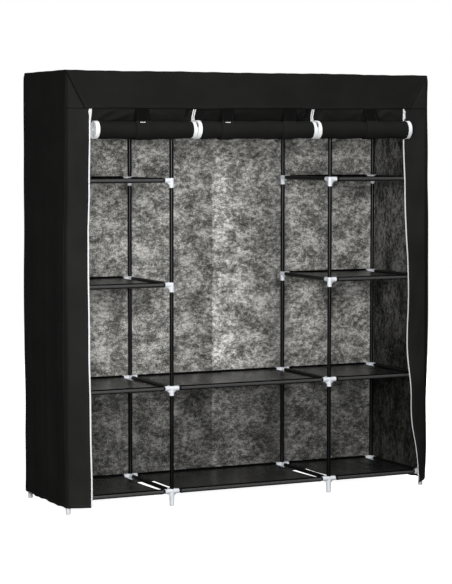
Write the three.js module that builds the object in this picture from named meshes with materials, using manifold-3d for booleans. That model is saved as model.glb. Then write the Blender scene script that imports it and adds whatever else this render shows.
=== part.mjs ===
// Portable fabric wardrobe: a plug-together tube frame, sleeved shelves, a sewn cover and three roll-up doors.
// Millimetres, +Z up. X runs from side to side, the doors face -Y, and the feet stand on Z = 0.
import * as THREE from 'three';
import { mergeVertices } from 'three/addons/utils/BufferGeometryUtils.js';
import Module from 'manifold-3d';

const wasm = await Module();
wasm.setup();

// Frame: distances between tube centres
const sideBay = 419;
const centreBay = 674;
const frameDepth = 390;
const levelPitch = 390;
const bottomLevel = 56;
const levelCount = 5;

// Tubes
const tubeDiameter = 16;
const tubeWall = 1;
const roundSides = 8;

// Moulded connectors
const armDiameter = 17;
const armReach = 28;
const collarDiameter = 17;
const collarDrop = 28;
const hubRise = 9;
const spigotLength = 20;
const spigotSides = 4;
const gussetThickness = 4;
const gussetInset = 3;
const gussetDrop = 22;

// Hanging rail clips
const clipWall = 2;
const clipLength = 22;
const clipRise = 6.5;

// Shelves
const shelfEndMargin = 35;
const shelfCloth = 1.2;
const sleeveEase = 0.4;
const shelfSag = 4;

// Cover
const cloth = 1;
const coverEase = 4;
const hemHeight = 26;
const headerHeight = 136;
const headerMitre = 77;
const flangeWidth = 100;
const sideFold = 3;
const sideFoldCount = 3;
const backFold = 3;
const backFoldCount = 6;
const foldLeanShare = 0.08;
const topDip = 4;

// Degrees that a front flange is turned out of the door plane, at shares of its height from the hem
const leftSwingShares = [[0, 20], [0.1, 15.5], [0.2, 10], [0.3, 5], [0.4, 1], [0.5, 0], [1, 0]];
const rightSwingShares = [
  [0, 50], [0.045, 43.5], [0.11, 35.5], [0.195, 27], [0.27, 22], [0.31, 16.5], [0.355, 10.5], [0.415, 10],
  [0.46, 13.5], [0.505, 16], [0.6, 10.8], [0.665, 6.5], [0.76, 1.5], [0.85, 0], [1, 0],
];

// Zips
const tapeWidth = 7;
const tapeThickness = 2.2;
const sliderLength = 16;
const sliderWidth = 10;
const sliderThickness = 6;
const sliderDrop = 6;

// Doors
const doorSplit = 252.5;
const doorGap = 6;
const doorEdgeGap = 6;
const rollDiameter = 70;
const rollCore = 12;
const curtainLength = 80;
const curtainFold = 3;
const curtainFoldCount = 4;
const stepsPerTurn = 10;

// Ties
const tieWidth = 52;
const tieThickness = 1.4;
const tieEase = 0.6;
const sideTiePlace = 486;
const centreTiePlace = 133;
const centreTieShift = -18;
const tieEndAngle = THREE.MathUtils.degToRad(318);
const tieSteps = 7;

// Fits
const seatGap = 0.3;
const cutOverrun = 2;

// Sizes that follow
const tubeRadius = tubeDiameter / 2;
const boreRadius = tubeRadius - tubeWall;
const spigotRadius = boreRadius - seatGap;
const armRadius = armDiameter / 2;
const collarRadius = collarDiameter / 2;
const flatShare = Math.cos(Math.PI / roundSides);
const innerPost = centreBay / 2;
const outerPost = innerPost + sideBay;
const topLevel = bottomLevel + (levelCount - 1) * levelPitch;
const coverHalfWidth = outerPost + collarRadius + coverEase + cloth;
const coverHalfDepth = frameDepth / 2 + collarRadius + coverEase + cloth;
const coverTop = topLevel + hubRise + seatGap + cloth;
const wallTop = coverTop - cloth - seatGap;
const seamInset = cloth + seatGap;
const headerBottom = coverTop - headerHeight;
const doorTop = headerBottom - seatGap;
const rollHeight = doorTop - curtainLength;
const rollRadius = rollDiameter / 2;
const rollCentreY = -coverHalfDepth + cloth - rollRadius;

const steel = { color: 0x141414, roughness: 0.42, metalness: 0.35 };
const shelfFabric = { color: 0x1c1c1d, roughness: 0.6, metalness: 0 };
const coverFabric = { color: 0x161616, roughness: 0.92, metalness: 0 };
const backFabric = { color: 0x55544f, roughness: 0.95, metalness: 0 };
const zipPlastic = { color: 0xe6e6e6, roughness: 0.5, metalness: 0 };

function piece(name, geometry, finish) {
  const mesh = new THREE.Mesh(geometry, new THREE.MeshStandardMaterial(finish));
  mesh.name = name;
  return mesh;
}

function toSolid(geometry) {
  const bare = geometry.clone();
  bare.deleteAttribute('normal');
  bare.deleteAttribute('uv');
  const merged = mergeVertices(bare, seatGap / 1000);
  return new wasm.Manifold(new wasm.Mesh({
    numProp: 3,
    vertProperties: merged.attributes.position.array,
    triVerts: Uint32Array.from(merged.index.array),
  }));
}

function toGeometry(solid) {
  const { vertProperties, triVerts } = solid.getMesh();
  const geometry = new THREE.BufferGeometry();
  geometry.setAttribute('position', new THREE.BufferAttribute(vertProperties, 3));
  geometry.setIndex(new THREE.BufferAttribute(triVerts, 1));
  geometry.computeVertexNormals();
  return geometry;
}

function join(geometries) {
  return geometries.map(toSolid).reduce((whole, next) => whole.add(next));
}

// A straight round bar that starts at a point and runs along a direction, with a flat on each main side
function bar(radius, start, direction, length, sides = roundSides) {
  const geometry = new THREE.CylinderGeometry(radius, radius, length, sides, 1, false, Math.PI / roundSides);
  geometry.translate(0, length / 2, 0);
  geometry.applyQuaternion(new THREE.Quaternion().setFromUnitVectors(new THREE.Vector3(0, 1, 0), direction));
  return geometry.translate(start.x, start.y, start.z);
}

function roundOutline(radius, Outline) {
  const outline = new Outline();
  for (let i = 0; i < roundSides; i += 1) {
    const angle = ((i + 0.5) * 2 * Math.PI) / roundSides;
    const point = [radius * Math.cos(angle), radius * Math.sin(angle)];
    if (i === 0) outline.moveTo(...point);
    else outline.lineTo(...point);
  }
  outline.closePath();
  return outline;
}

// A plain cut tube of the frame, open from end to end
function frameTube(start, direction, length) {
  const section = roundOutline(tubeRadius, THREE.Shape);
  section.holes.push(roundOutline(boreRadius, THREE.Path));
  const geometry = new THREE.ExtrudeGeometry(section, { depth: length, bevelEnabled: false });
  geometry.applyQuaternion(new THREE.Quaternion().setFromUnitVectors(new THREE.Vector3(0, 0, 1), direction));
  return geometry.translate(start.x, start.y, start.z);
}

// A profile drawn in Y and Z, run along X from one place to another
function runAlongX(profile, fromX, toX) {
  const geometry = new THREE.ExtrudeGeometry(profile, { depth: toX - fromX, bevelEnabled: false });
  const turn = new THREE.Matrix4().makeBasis(
    new THREE.Vector3(0, 1, 0),
    new THREE.Vector3(0, 0, 1),
    new THREE.Vector3(1, 0, 0),
  );
  return geometry.applyMatrix4(turn).translate(fromX, 0, 0);
}

function outlineOf(points) {
  return new THREE.Shape(points.map(([a, b]) => new THREE.Vector2(a, b)));
}

// A sheet of cloth as a closed solid between an outer and an inner surface.
// Each surface takes the shares across and up, from 0 to 1, with across x up pointing outwards.
function clothSheet(columns, rows, outerAt, innerAt) {
  const positions = [];
  [outerAt, innerAt].forEach((surface) => {
    for (let j = 0; j <= rows; j += 1) {
      for (let i = 0; i <= columns; i += 1) positions.push(...surface(i / columns, j / rows));
    }
  });
  const layer = (columns + 1) * (rows + 1);
  const at = (i, j, side) => side * layer + j * (columns + 1) + i;
  const index = [];
  const quad = (a, b, c, d) => index.push(a, b, c, a, c, d);
  for (let j = 0; j < rows; j += 1) {
    for (let i = 0; i < columns; i += 1) {
      quad(at(i, j, 0), at(i + 1, j, 0), at(i + 1, j + 1, 0), at(i, j + 1, 0));
      quad(at(i, j, 1), at(i, j + 1, 1), at(i + 1, j + 1, 1), at(i + 1, j, 1));
    }
  }
  for (let i = 0; i < columns; i += 1) {
    quad(at(i, 0, 0), at(i, 0, 1), at(i + 1, 0, 1), at(i + 1, 0, 0));
    quad(at(i, rows, 0), at(i + 1, rows, 0), at(i + 1, rows, 1), at(i, rows, 1));
  }
  for (let j = 0; j < rows; j += 1) {
    quad(at(0, j, 0), at(0, j + 1, 0), at(0, j + 1, 1), at(0, j, 1));
    quad(at(columns, j, 0), at(columns, j, 1), at(columns, j + 1, 1), at(columns, j + 1, 0));
  }
  const geometry = new THREE.BufferGeometry();
  geometry.setAttribute('position', new THREE.Float32BufferAttribute(positions, 3));
  geometry.setIndex(index);
  geometry.computeVertexNormals();
  return geometry;
}

const posts = [
  { side: 'left_outer', x: -outerPost },
  { side: 'left_inner', x: -innerPost },
  { side: 'right_inner', x: innerPost },
  { side: 'right_outer', x: outerPost },
];
const rows = [
  { place: 'front', y: -frameDepth / 2, inward: 1 },
  { place: 'rear', y: frameDepth / 2, inward: -1 },
];
const bays = [
  { place: 'left', from: -outerPost, to: -innerPost, shelves: levelCount - 1 },
  { place: 'centre', from: -innerPost, to: innerPost, shelves: 2 },
  { place: 'right', from: innerPost, to: outerPost, shelves: levelCount - 1 },
];
const levelHeight = (level) => bottomLevel + level * levelPitch;
const bayHasRail = (bay, level) => level < bay.shelves || level === levelCount - 1;

// One arm of a connector with its spigot and the gusset under it
function connectorArm(centre, direction) {
  const spigotStart = centre.clone().addScaledVector(direction, armReach - seatGap);
  const gusset = new THREE.ExtrudeGeometry(outlineOf([
    [collarRadius / 2, -armRadius / 2],
    [armReach - gussetInset, -armRadius / 2],
    [collarRadius / 2 + gussetInset, -gussetDrop],
    [collarRadius / 2, -gussetDrop],
  ]), { depth: gussetThickness, bevelEnabled: false });
  gusset.translate(0, 0, -gussetThickness / 2);
  const up = new THREE.Vector3(0, 0, 1);
  gusset.applyMatrix4(new THREE.Matrix4().makeBasis(direction, up, direction.clone().cross(up)));
  gusset.translate(centre.x, centre.y, centre.z);
  return [
    bar(armRadius, centre, direction, armReach),
    bar(spigotRadius, spigotStart, direction, spigotLength + seatGap, spigotSides),
    gusset,
  ];
}

// A post with its connectors plugged in, hollow from the sole of the foot to the top hub
function upright(post, row) {
  const up = new THREE.Vector3(0, 0, 1);
  const foot = new THREE.Vector3(post.x, row.y, 0);
  const parts = [bar(tubeRadius, foot.clone().setZ(bottomLevel), up, topLevel - bottomLevel)];
  for (let level = 0; level < levelCount; level += 1) {
    const height = levelHeight(level);
    const centre = foot.clone().setZ(height);
    const hubFoot = level === 0 ? 0 : height - collarDrop;
    parts.push(bar(collarRadius, foot.clone().setZ(hubFoot), up, height + hubRise - hubFoot));
    parts.push(...connectorArm(centre, new THREE.Vector3(0, row.inward, 0)));
    bays.filter((bay) => bayHasRail(bay, level)).forEach((bay) => {
      if (bay.from === post.x) parts.push(...connectorArm(centre, new THREE.Vector3(1, 0, 0)));
      if (bay.to === post.x) parts.push(...connectorArm(centre, new THREE.Vector3(-1, 0, 0)));
    });
  }
  const bore = bar(boreRadius, foot.clone().setZ(-cutOverrun), up, topLevel + cutOverrun);
  return toGeometry(join(parts).subtract(toSolid(bore)));
}

const tubeEnd = armReach + seatGap;

function depthTube(post, level) {
  const start = new THREE.Vector3(post.x, -frameDepth / 2 + tubeEnd, levelHeight(level));
  return frameTube(start, new THREE.Vector3(0, 1, 0), frameDepth - 2 * tubeEnd);
}

function crossTube(bay, row, level) {
  const start = new THREE.Vector3(bay.from + tubeEnd, row.y, levelHeight(level));
  return frameTube(start, new THREE.Vector3(1, 0, 0), bay.to - bay.from - 2 * tubeEnd);
}

// Shelf: a sheet sewn into two sleeves, with the two cross tubes that it is drawn over
function shelf(bay, level) {
  const height = levelHeight(level);
  const along = new THREE.Vector3(1, 0, 0);
  const clothFrom = bay.from + shelfEndMargin;
  const clothTo = bay.to - shelfEndMargin;
  const sleeveRadius = tubeRadius + sleeveEase + shelfCloth;
  const sheetTop = height + sleeveRadius * flatShare;
  const halfDepth = frameDepth / 2;
  const sheet = outlineOf([
    [-halfDepth, sheetTop - shelfCloth],
    [0, sheetTop - shelfCloth - shelfSag],
    [halfDepth, sheetTop - shelfCloth],
    [halfDepth, sheetTop],
    [0, sheetTop - shelfSag],
    [-halfDepth, sheetTop],
  ]);
  const parts = [runAlongX(sheet, clothFrom, clothTo)];
  const bores = [];
  rows.forEach((row) => {
    const start = new THREE.Vector3(bay.from + tubeEnd, row.y, height);
    const length = bay.to - bay.from - 2 * tubeEnd;
    parts.push(bar(tubeRadius, start, along, length));
    parts.push(bar(sleeveRadius, start.clone().setX(clothFrom), along, clothTo - clothFrom));
    bores.push(bar(boreRadius, start.clone().setX(start.x - cutOverrun), along, length + 2 * cutOverrun));
  });
  return toGeometry(join(parts).subtract(join(bores)));
}

// Hanging rail: a tube between two snap-on clips that grip the inner top depth tubes from below
function hangingRail() {
  const along = new THREE.Vector3(1, 0, 0);
  const across = new THREE.Vector3(0, 1, 0);
  const parts = [bar(tubeRadius, new THREE.Vector3(-innerPost, 0, topLevel), along, centreBay)];
  const clipRadius = tubeRadius + seatGap + clipWall;
  const cuts = [];
  [-innerPost, innerPost].forEach((x) => {
    parts.push(bar(clipRadius, new THREE.Vector3(x, -clipLength / 2, topLevel), across, clipLength));
    const cutStart = new THREE.Vector3(x, -clipLength / 2 - cutOverrun, topLevel);
    cuts.push(bar(tubeRadius + seatGap, cutStart, across, clipLength + 2 * cutOverrun));
    const mouth = new THREE.BoxGeometry(2 * clipRadius, clipLength + 2 * cutOverrun, clipRadius);
    cuts.push(mouth.translate(x, 0, topLevel + clipRise + clipRadius / 2));
  });
  return toGeometry(join(parts).subtract(join(cuts)));
}

// Cover walls hang with soft upright folds that fade out at the seams and grow towards the hem
function hangingFold(depth, foldCount, across, up) {
  const fade = Math.sin(Math.PI * across);
  const fall = Math.cos((Math.PI / 2) * up);
  return depth * fade * fall * Math.cos(2 * Math.PI * foldCount * (across + foldLeanShare * up));
}

function sideWall(direction) {
  const rise = wallTop - hemHeight;
  const surface = (inset) => (across, up) => {
    const x = coverHalfWidth - inset + hangingFold(sideFold, sideFoldCount, across, up);
    const y = direction * (2 * across - 1) * coverHalfDepth;
    return [direction * x, y, hemHeight + rise * up];
  };
  return clothSheet(12, 4, surface(0), surface(cloth));
}

function backWall() {
  const halfWidth = coverHalfWidth - seamInset;
  const surface = (inset) => (across, up) => [
    (1 - 2 * across) * halfWidth,
    coverHalfDepth - inset + hangingFold(backFold, backFoldCount, across, up),
    hemHeight + (wallTop - hemHeight) * up,
  ];
  return clothSheet(24, 3, surface(0), surface(cloth));
}

// The top dips a little between the tubes and stays level over them
function topDipAt(x, y) {
  const inCentre = Math.abs(x) < innerPost;
  const bayShare = inCentre ? (x + innerPost) / centreBay : (Math.abs(x) - innerPost) / sideBay;
  const depthShare = y / frameDepth + 0.5;
  if (bayShare > 1 || depthShare < 0 || depthShare > 1) return 0;
  const halfWaves = inCentre ? 2 : 1;
  return topDip * Math.sin(Math.PI * bayShare) ** 2 * Math.sin(halfWaves * Math.PI * depthShare) ** 2;
}

function topPanel() {
  const surface = (inset) => (across, up) => {
    const x = (2 * across - 1) * coverHalfWidth;
    const y = (2 * up - 1) * coverHalfDepth;
    return [x, y, coverTop - inset - topDipAt(x, y)];
  };
  return clothSheet(14, 6, surface(0), surface(cloth));
}

// Header band across the front, mitred at both ends against the flanges
function headerBand() {
  const surface = (inset) => (across, up) => {
    const endInset = seamInset + (headerMitre - seamInset) * (1 - up);
    const x = (2 * across - 1) * (coverHalfWidth - endInset);
    return [x, inset - coverHalfDepth, headerBottom + (wallTop - headerBottom) * up];
  };
  return clothSheet(4, 1, surface(0), surface(cloth));
}

// Front flanges turn out of the door plane towards the hem, the right one much further
const flanges = {
  left: { direction: 1, swingShares: leftSwingShares },
  right: { direction: -1, swingShares: rightSwingShares },
};

// Straight-line reading of a table of [share, value] rows
function readTable(table, share) {
  const next = Math.max(1, table.findIndex((row) => row[0] >= share));
  const [from, to] = [table[next - 1], table[next]];
  return THREE.MathUtils.mapLinear(share, from[0], to[0], from[1], to[1]);
}

// A point of a flange, at a distance from the corner seam, a height and a depth below its outer face
function flangePoint(flange, distance, height, inset) {
  const share = THREE.MathUtils.clamp((height - hemHeight) / (doorTop - hemHeight), 0, 1);
  const angle = THREE.MathUtils.degToRad(readTable(flange.swingShares, share));
  const x = -coverHalfWidth + distance * Math.cos(angle) + inset * Math.sin(angle);
  const y = -coverHalfDepth - distance * Math.sin(angle) + inset * Math.cos(angle);
  return [flange.direction * x, y, height];
}

function frontFlange(flange) {
  const clothEnd = flangeWidth - tapeWidth - seatGap;
  const mitreColumns = 3;
  const columns = 4;
  const distanceAt = (share) => {
    const column = share * columns;
    return column <= mitreColumns
      ? THREE.MathUtils.lerp(seamInset, headerMitre, column / mitreColumns)
      : THREE.MathUtils.lerp(headerMitre, clothEnd, column - mitreColumns);
  };
  const topAt = (distance) => {
    const share = THREE.MathUtils.clamp((headerMitre - distance) / (headerMitre - seamInset), 0, 1);
    return doorTop - seatGap + (wallTop - headerBottom) * share;
  };
  const surface = (inset) => (across, up) => {
    const distance = distanceAt(flange.direction > 0 ? across : 1 - across);
    const height = THREE.MathUtils.lerp(hemHeight, topAt(distance), up);
    return flangePoint(flange, distance, height, inset);
  };
  return clothSheet(columns, 12, surface(0), surface(cloth));
}

// Zip on a flange's free edge, with its slider parked at the top
function zip(flange) {
  const rib = (cloth - tapeThickness) / 2;
  const surface = (inset) => (across, up) => {
    const distance = flangeWidth - tapeWidth * (flange.direction > 0 ? 1 - across : across);
    return flangePoint(flange, distance, THREE.MathUtils.lerp(hemHeight, doorTop, up), inset);
  };
  const tape = clothSheet(1, 12, surface(rib), surface(cloth - rib));
  const slider = new THREE.BoxGeometry(sliderWidth, sliderThickness, sliderLength);
  const sliderX = -flange.direction * (coverHalfWidth - flangeWidth + tapeWidth - sliderWidth / 2);
  slider.translate(sliderX, cloth / 2 - coverHalfDepth, doorTop - sliderDrop - sliderLength / 2);
  return toGeometry(join([tape, slider]));
}

// Doors share the opening between the two zips
const openingHalf = coverHalfWidth - flangeWidth - doorEdgeGap;
const doors = [
  { place: 'left', from: -openingHalf, to: -doorSplit - doorGap / 2, ties: [-sideTiePlace] },
  {
    place: 'centre',
    from: -doorSplit + doorGap / 2,
    to: doorSplit - doorGap / 2,
    ties: [centreTieShift - centreTiePlace, centreTieShift + centreTiePlace],
  },
  { place: 'right', from: doorSplit + doorGap / 2, to: openingHalf, ties: [sideTiePlace] },
];

// A rolled door is one spiral of cloth, long enough to reach the hem when it is let down
const woundLength = rollHeight - hemHeight;
const rollPitch = (Math.PI * (rollRadius ** 2 - (rollCore / 2) ** 2)) / woundLength;
const rollTurns = (rollRadius - rollCore / 2) / rollPitch;

function spiralPoint(turnsFromEnd, depth) {
  const angle = -2 * Math.PI * turnsFromEnd;
  const radius = rollRadius - depth - rollPitch * turnsFromEnd;
  return [rollCentreY + radius * Math.cos(angle), rollHeight + radius * Math.sin(angle)];
}

function rolledDoor(door) {
  const steps = Math.floor(rollTurns * stepsPerTurn);
  const outer = [];
  const inner = [];
  for (let i = 0; i <= steps; i += 1) {
    outer.push(spiralPoint(i / stepsPerTurn, 0));
    inner.unshift(spiralPoint(i / stepsPerTurn, cloth));
  }
  return runAlongX(outlineOf([...outer, ...inner]), door.from, door.to);
}

// Least gap between neighbouring turns, measured between the spiral's own points
function leastRollGap() {
  let least = Infinity;
  for (let i = 0; i + stepsPerTurn <= rollTurns * stepsPerTurn; i += 1) {
    const here = spiralPoint(i / stepsPerTurn, cloth);
    const next = spiralPoint(i / stepsPerTurn + 1, 0);
    least = Math.min(least, Math.hypot(here[0] - next[0], here[1] - next[1]));
  }
  return least;
}
console.log(`rolled door: ${rollTurns.toFixed(1)} turns, least gap ${leastRollGap().toFixed(2)} mm`);

// A tie leaves the header seam, lies over the roll and comes back under it
function tieOutline() {
  const wrap = rollRadius + tieEase + tieThickness / 2;
  const start = [rollRadius - cloth - tieThickness / 2 + seatGap, doorTop - tieThickness - rollHeight];
  const startAngle = Math.atan2(start[1], start[0]) + Math.acos(wrap / Math.hypot(...start));
  const edge = (offset) => {
    const points = [[
      rollCentreY + start[0] + offset * Math.cos(startAngle),
      rollHeight + start[1] + offset * Math.sin(startAngle),
    ]];
    for (let i = 0; i <= tieSteps; i += 1) {
      const angle = THREE.MathUtils.lerp(startAngle, tieEndAngle, i / tieSteps);
      const radius = wrap + offset;
      points.push([rollCentreY + radius * Math.cos(angle), rollHeight + radius * Math.sin(angle)]);
    }
    return points;
  };
  return outlineOf([...edge(tieThickness / 2), ...edge(-tieThickness / 2).reverse()]);
}

// The stretch of door that still hangs from the header, with the ties sewn on along its top edge
function doorCurtain(door) {
  const foot = rollHeight + seatGap;
  const rollTop = rollHeight + rollRadius;
  const width = door.to - door.from;
  const surface = (inset) => (across, up) => {
    const height = THREE.MathUtils.lerp(foot, doorTop, up);
    const above = THREE.MathUtils.clamp((height - rollTop) / (doorTop - rollTop), 0, 1);
    const fold = curtainFold * Math.sin(Math.PI * above) * Math.sin(Math.PI * across)
      * Math.cos(2 * Math.PI * (curtainFoldCount * across + above));
    return [door.from + width * across, inset - coverHalfDepth + fold, height];
  };
  const hanging = clothSheet(12, 4, surface(0), surface(cloth));
  const ties = door.ties.map((x) => runAlongX(tieOutline(), x - tieWidth / 2, x + tieWidth / 2));
  return toGeometry(join([hanging, ...ties]));
}

const frame = new THREE.Group();
posts.forEach((post) => {
  rows.forEach((row) => frame.add(piece(`upright_${row.place}_${post.side}`, upright(post, row), steel)));
  for (let level = 0; level < levelCount; level += 1) {
    frame.add(piece(`depth_tube_${post.side}_${level + 1}`, depthTube(post, level), steel));
  }
});
bays.forEach((bay) => rows.forEach((row) => {
  frame.add(piece(`top_rail_${row.place}_${bay.place}`, crossTube(bay, row, levelCount - 1), steel));
}));
frame.add(piece('hanging_rail', hangingRail(), steel));

const shelves = new THREE.Group();
bays.forEach((bay) => {
  for (let level = 0; level < bay.shelves; level += 1) {
    shelves.add(piece(`shelf_${bay.place}_${level + 1}`, shelf(bay, level), shelfFabric));
  }
});

const cover = new THREE.Group();
cover.add(piece('cover_back', backWall(), backFabric));
cover.add(piece('cover_left_side', sideWall(-1), coverFabric));
cover.add(piece('cover_right_side', sideWall(1), coverFabric));
cover.add(piece('cover_top', topPanel(), coverFabric));
cover.add(piece('cover_header', headerBand(), coverFabric));
Object.entries(flanges).forEach(([place, flange]) => {
  cover.add(piece(`front_flange_${place}`, frontFlange(flange), coverFabric));
  cover.add(piece(`zip_${place}`, zip(flange), zipPlastic));
});

const doorGroup = new THREE.Group();
doors.forEach((door) => {
  doorGroup.add(piece(`door_roll_${door.place}`, rolledDoor(door), coverFabric));
  doorGroup.add(piece(`door_curtain_${door.place}`, doorCurtain(door), coverFabric));
});

// The origin is on the floor under the middle of the whole wardrobe, flanges and rolls included
const wardrobe = new THREE.Group();
wardrobe.add(frame, shelves, cover, doorGroup);
const reach = new THREE.Box3().setFromObject(wardrobe).getCenter(new THREE.Vector3());
wardrobe.position.set(0, -reach.y, 0);

export default wardrobe;
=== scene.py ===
import math

import bpy
import numpy as np
from mathutils import Matrix, Vector


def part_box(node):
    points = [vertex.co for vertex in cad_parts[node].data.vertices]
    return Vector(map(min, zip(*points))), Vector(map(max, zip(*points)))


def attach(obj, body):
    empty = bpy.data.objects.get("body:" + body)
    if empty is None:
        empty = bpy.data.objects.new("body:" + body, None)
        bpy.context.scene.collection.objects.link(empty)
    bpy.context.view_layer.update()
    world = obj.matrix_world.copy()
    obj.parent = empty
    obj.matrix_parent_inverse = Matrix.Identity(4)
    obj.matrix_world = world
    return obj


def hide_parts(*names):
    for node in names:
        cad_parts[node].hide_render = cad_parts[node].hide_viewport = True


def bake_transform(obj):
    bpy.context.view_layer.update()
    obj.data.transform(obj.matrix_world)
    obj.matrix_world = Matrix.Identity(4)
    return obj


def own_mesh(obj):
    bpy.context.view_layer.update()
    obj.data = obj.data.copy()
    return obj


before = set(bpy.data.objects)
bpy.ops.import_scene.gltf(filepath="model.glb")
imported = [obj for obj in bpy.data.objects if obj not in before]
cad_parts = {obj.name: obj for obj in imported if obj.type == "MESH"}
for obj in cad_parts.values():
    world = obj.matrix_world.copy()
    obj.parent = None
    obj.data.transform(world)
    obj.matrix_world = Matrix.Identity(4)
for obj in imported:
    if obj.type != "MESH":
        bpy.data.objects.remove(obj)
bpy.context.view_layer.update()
scene = bpy.context.scene
print("wardrobe frame loaded")


# camera

cameraPlan = {
    "focal": 125.5,
    "place": (-3.486, -7.078, 1.372),
    "yaw": 26.01,
    "pitch": -4.24,
    "roll": 0.05,
    "farthest": 60,
}


def addCamera(plan):
    yaw, pitch, roll = (math.radians(plan[key]) for key in ("yaw", "pitch", "roll"))
    forward = Vector((math.sin(yaw) * math.cos(pitch), math.cos(yaw) * math.cos(pitch), math.sin(pitch)))
    level = Vector((math.cos(yaw), -math.sin(yaw), 0))
    upright = level.cross(forward)
    right = math.cos(roll) * level + math.sin(roll) * upright
    up = math.cos(roll) * upright - math.sin(roll) * level
    camera = bpy.data.objects.new("camera", bpy.data.cameras.new("camera"))
    camera.data.lens = plan["focal"]
    camera.data.clip_end = plan["farthest"]
    turn = Matrix((right, up, -forward)).transposed().to_4x4()
    camera.matrix_world = Matrix.Translation(plan["place"]) @ turn
    scene.collection.objects.link(camera)
    scene.camera = camera


addCamera(cameraPlan)


# shader sums and finishes

class Wire:
    # a shader socket that works in sums
    def __init__(self, finish, socket):
        self.finish, self.socket = finish, socket

    def sum(self, operation, first, second):
        return self.finish.node("Math", {"operation": operation}, {0: first, 1: second})

    def __add__(self, other):
        return self.sum("ADD", self, other)

    def __radd__(self, other):
        return self.sum("ADD", other, self)

    def __sub__(self, other):
        return self.sum("SUBTRACT", self, other)

    def __rsub__(self, other):
        return self.sum("SUBTRACT", other, self)

    def __mul__(self, other):
        return self.sum("MULTIPLY", self, other)

    def __rmul__(self, other):
        return self.sum("MULTIPLY", other, self)


class Finish:
    def __init__(self, name, **fixed):
        self.material = bpy.data.materials.new(name)
        self.material.use_nodes = True
        self.nodes, self.links = self.material.node_tree.nodes, self.material.node_tree.links
        self.nodes.clear()
        self.shader = self.nodes.new("ShaderNodeBsdfPrincipled")
        out = self.nodes.new("ShaderNodeOutputMaterial")
        self.links.new(self.shader.outputs[0], out.inputs[0])
        self.feed(self.shader, fixed)
        self.place = self.node("TexCoord", output="Object")

    def feed(self, node, sockets):
        for key, value in sockets.items():
            if isinstance(value, Wire):
                self.links.new(value.socket, node.inputs[key])
            else:
                node.inputs[key].default_value = value

    def node(self, kind, settings=None, sockets=None, output=0):
        made = self.nodes.new("ShaderNode" + kind)
        for key, value in (settings or {}).items():
            if key == "stops":
                stops = made.color_ramp.elements
                while len(stops) < len(value):
                    stops.new(0.5)
                for stop, (position, colour) in zip(stops, value):
                    stop.position, stop.color = position, (*colour, 1)
            else:
                setattr(made, key, value)
        self.feed(made, sockets or {})
        return Wire(self, made.outputs[output])

    def noise(self, scale, detail=2.0, rough=0.5, stretch=None):
        place = self.place
        if stretch:
            place = self.node("Mapping", {}, {"Vector": place, "Scale": stretch})
        return self.node("TexNoise", {}, {"Vector": place, "Scale": scale, "Detail": detail, "Roughness": rough})

    def along(self, axis):
        return self.node("SeparateXYZ", {}, {0: self.place}, output=axis)

    def sine(self, wire):
        return self.node("Math", {"operation": "SINE"}, {0: wire})

    def blend(self, factor, first, second):
        return self.node("Mix", {"data_type": "RGBA"}, {0: factor, 6: (*first, 1), 7: (*second, 1)}, output=2)

    def tint(self, colour, amount):
        # a colour times a grey amount
        shade = self.node("CombineColor", {}, {0: amount, 1: amount, 2: amount})
        settings = {"data_type": "RGBA", "blend_type": "MULTIPLY"}
        return self.node("Mix", settings, {0: 1.0, 6: colour, 7: shade}, output=2)

    def step(self, value, low, high, fromValue=0.0, toValue=1.0):
        return self.node("MapRange", {"interpolation_type": "SMOOTHSTEP"},
                         {0: value, 1: low, 2: high, 3: fromValue, 4: toValue})

    def colour(self, wire):
        self.feed(self.shader, {"Base Color": wire})

    def rough(self, wire):
        self.feed(self.shader, {"Roughness": wire})

    def bump(self, height, distance, strength=1.0):
        normal = self.node("Bump", {}, {"Height": height, "Distance": distance, "Strength": strength})
        self.feed(self.shader, {"Normal": normal})


# noises are scale, detail, roughness and stretch; dulls and lifts are each noise's share in gloss and relief

steelLook = {
    "colour": (0.0026, 0.0026, 0.0028), "pale": (0.0075, 0.0075, 0.0075), "shine": 0.16, "gloss": 0.22,
    "noises": [(14, 3), (700, 1)], "tone": (0.55, 0.8), "dulls": (0.1, 0.05), "lifts": (0, 1), "relief": 0.00006,
}
plasticLook = {
    "colour": (0.77, 0.80, 0.84), "pale": (0.66, 0.69, 0.73), "shine": 0.45, "gloss": 0.36,
    "noises": [(55, 3, 0.5, (1, 1, 0.4)), (1400, 1)], "tone": (0.35, 0.75), "dulls": (0.14, 0), "lifts": (0.8, 1),
    "relief": 0.00005,
}
shelfLook = {
    "colour": (0.0065, 0.0065, 0.0066), "pale": (0.0125, 0.0125, 0.0124), "shine": 0.62, "gloss": 0.17,
    "noises": [(260, 3, 0.6, (0.35, 1, 1)), (11, 3), (900, 1)], "tone": (0.35, 0.75), "dulls": (0.1, 0.12, 0),
    "lifts": (0.7, 0, 0.3), "relief": 0.00006,
}
# painted highlight: a lighter, glossier copy of the shelf cloth for the front sleeve's lit face
litSleeveLook = {
    **shelfLook, "colour": (0.040, 0.040, 0.0397), "pale": (0.064, 0.064, 0.0634), "shine": 0.3, "gloss": 0.5,
}
# painted shade: a darker copy of the shelf cloth for the sleeve's top seam and the rear sleeve
shadeLook = {
    **shelfLook, "colour": (0.0018, 0.0018, 0.0018), "pale": (0.0030, 0.0030, 0.0030), "shine": 0.03, "gloss": 0.8,
}
tapeLook = {
    "colour": (0.88, 0.89, 0.90), "pale": (0.78, 0.79, 0.80), "shine": 0.3, "gloss": 0.62,
    "noises": [(700, 2)], "tone": (0.3, 0.8), "dulls": (0.16,), "lifts": (1,), "relief": 0.00009,
    "ribs": 4200, "ribLift": 0.35,
}
sliderLook = {
    "colour": (0.72, 0.73, 0.74), "pale": (0.5904, 0.5986, 0.6068), "shine": 0.5, "gloss": 0.34,
    "noises": [(900, 2)], "tone": (0.4, 0.9), "dulls": (0.1,), "lifts": (1,), "relief": 0.00004,
}
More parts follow.
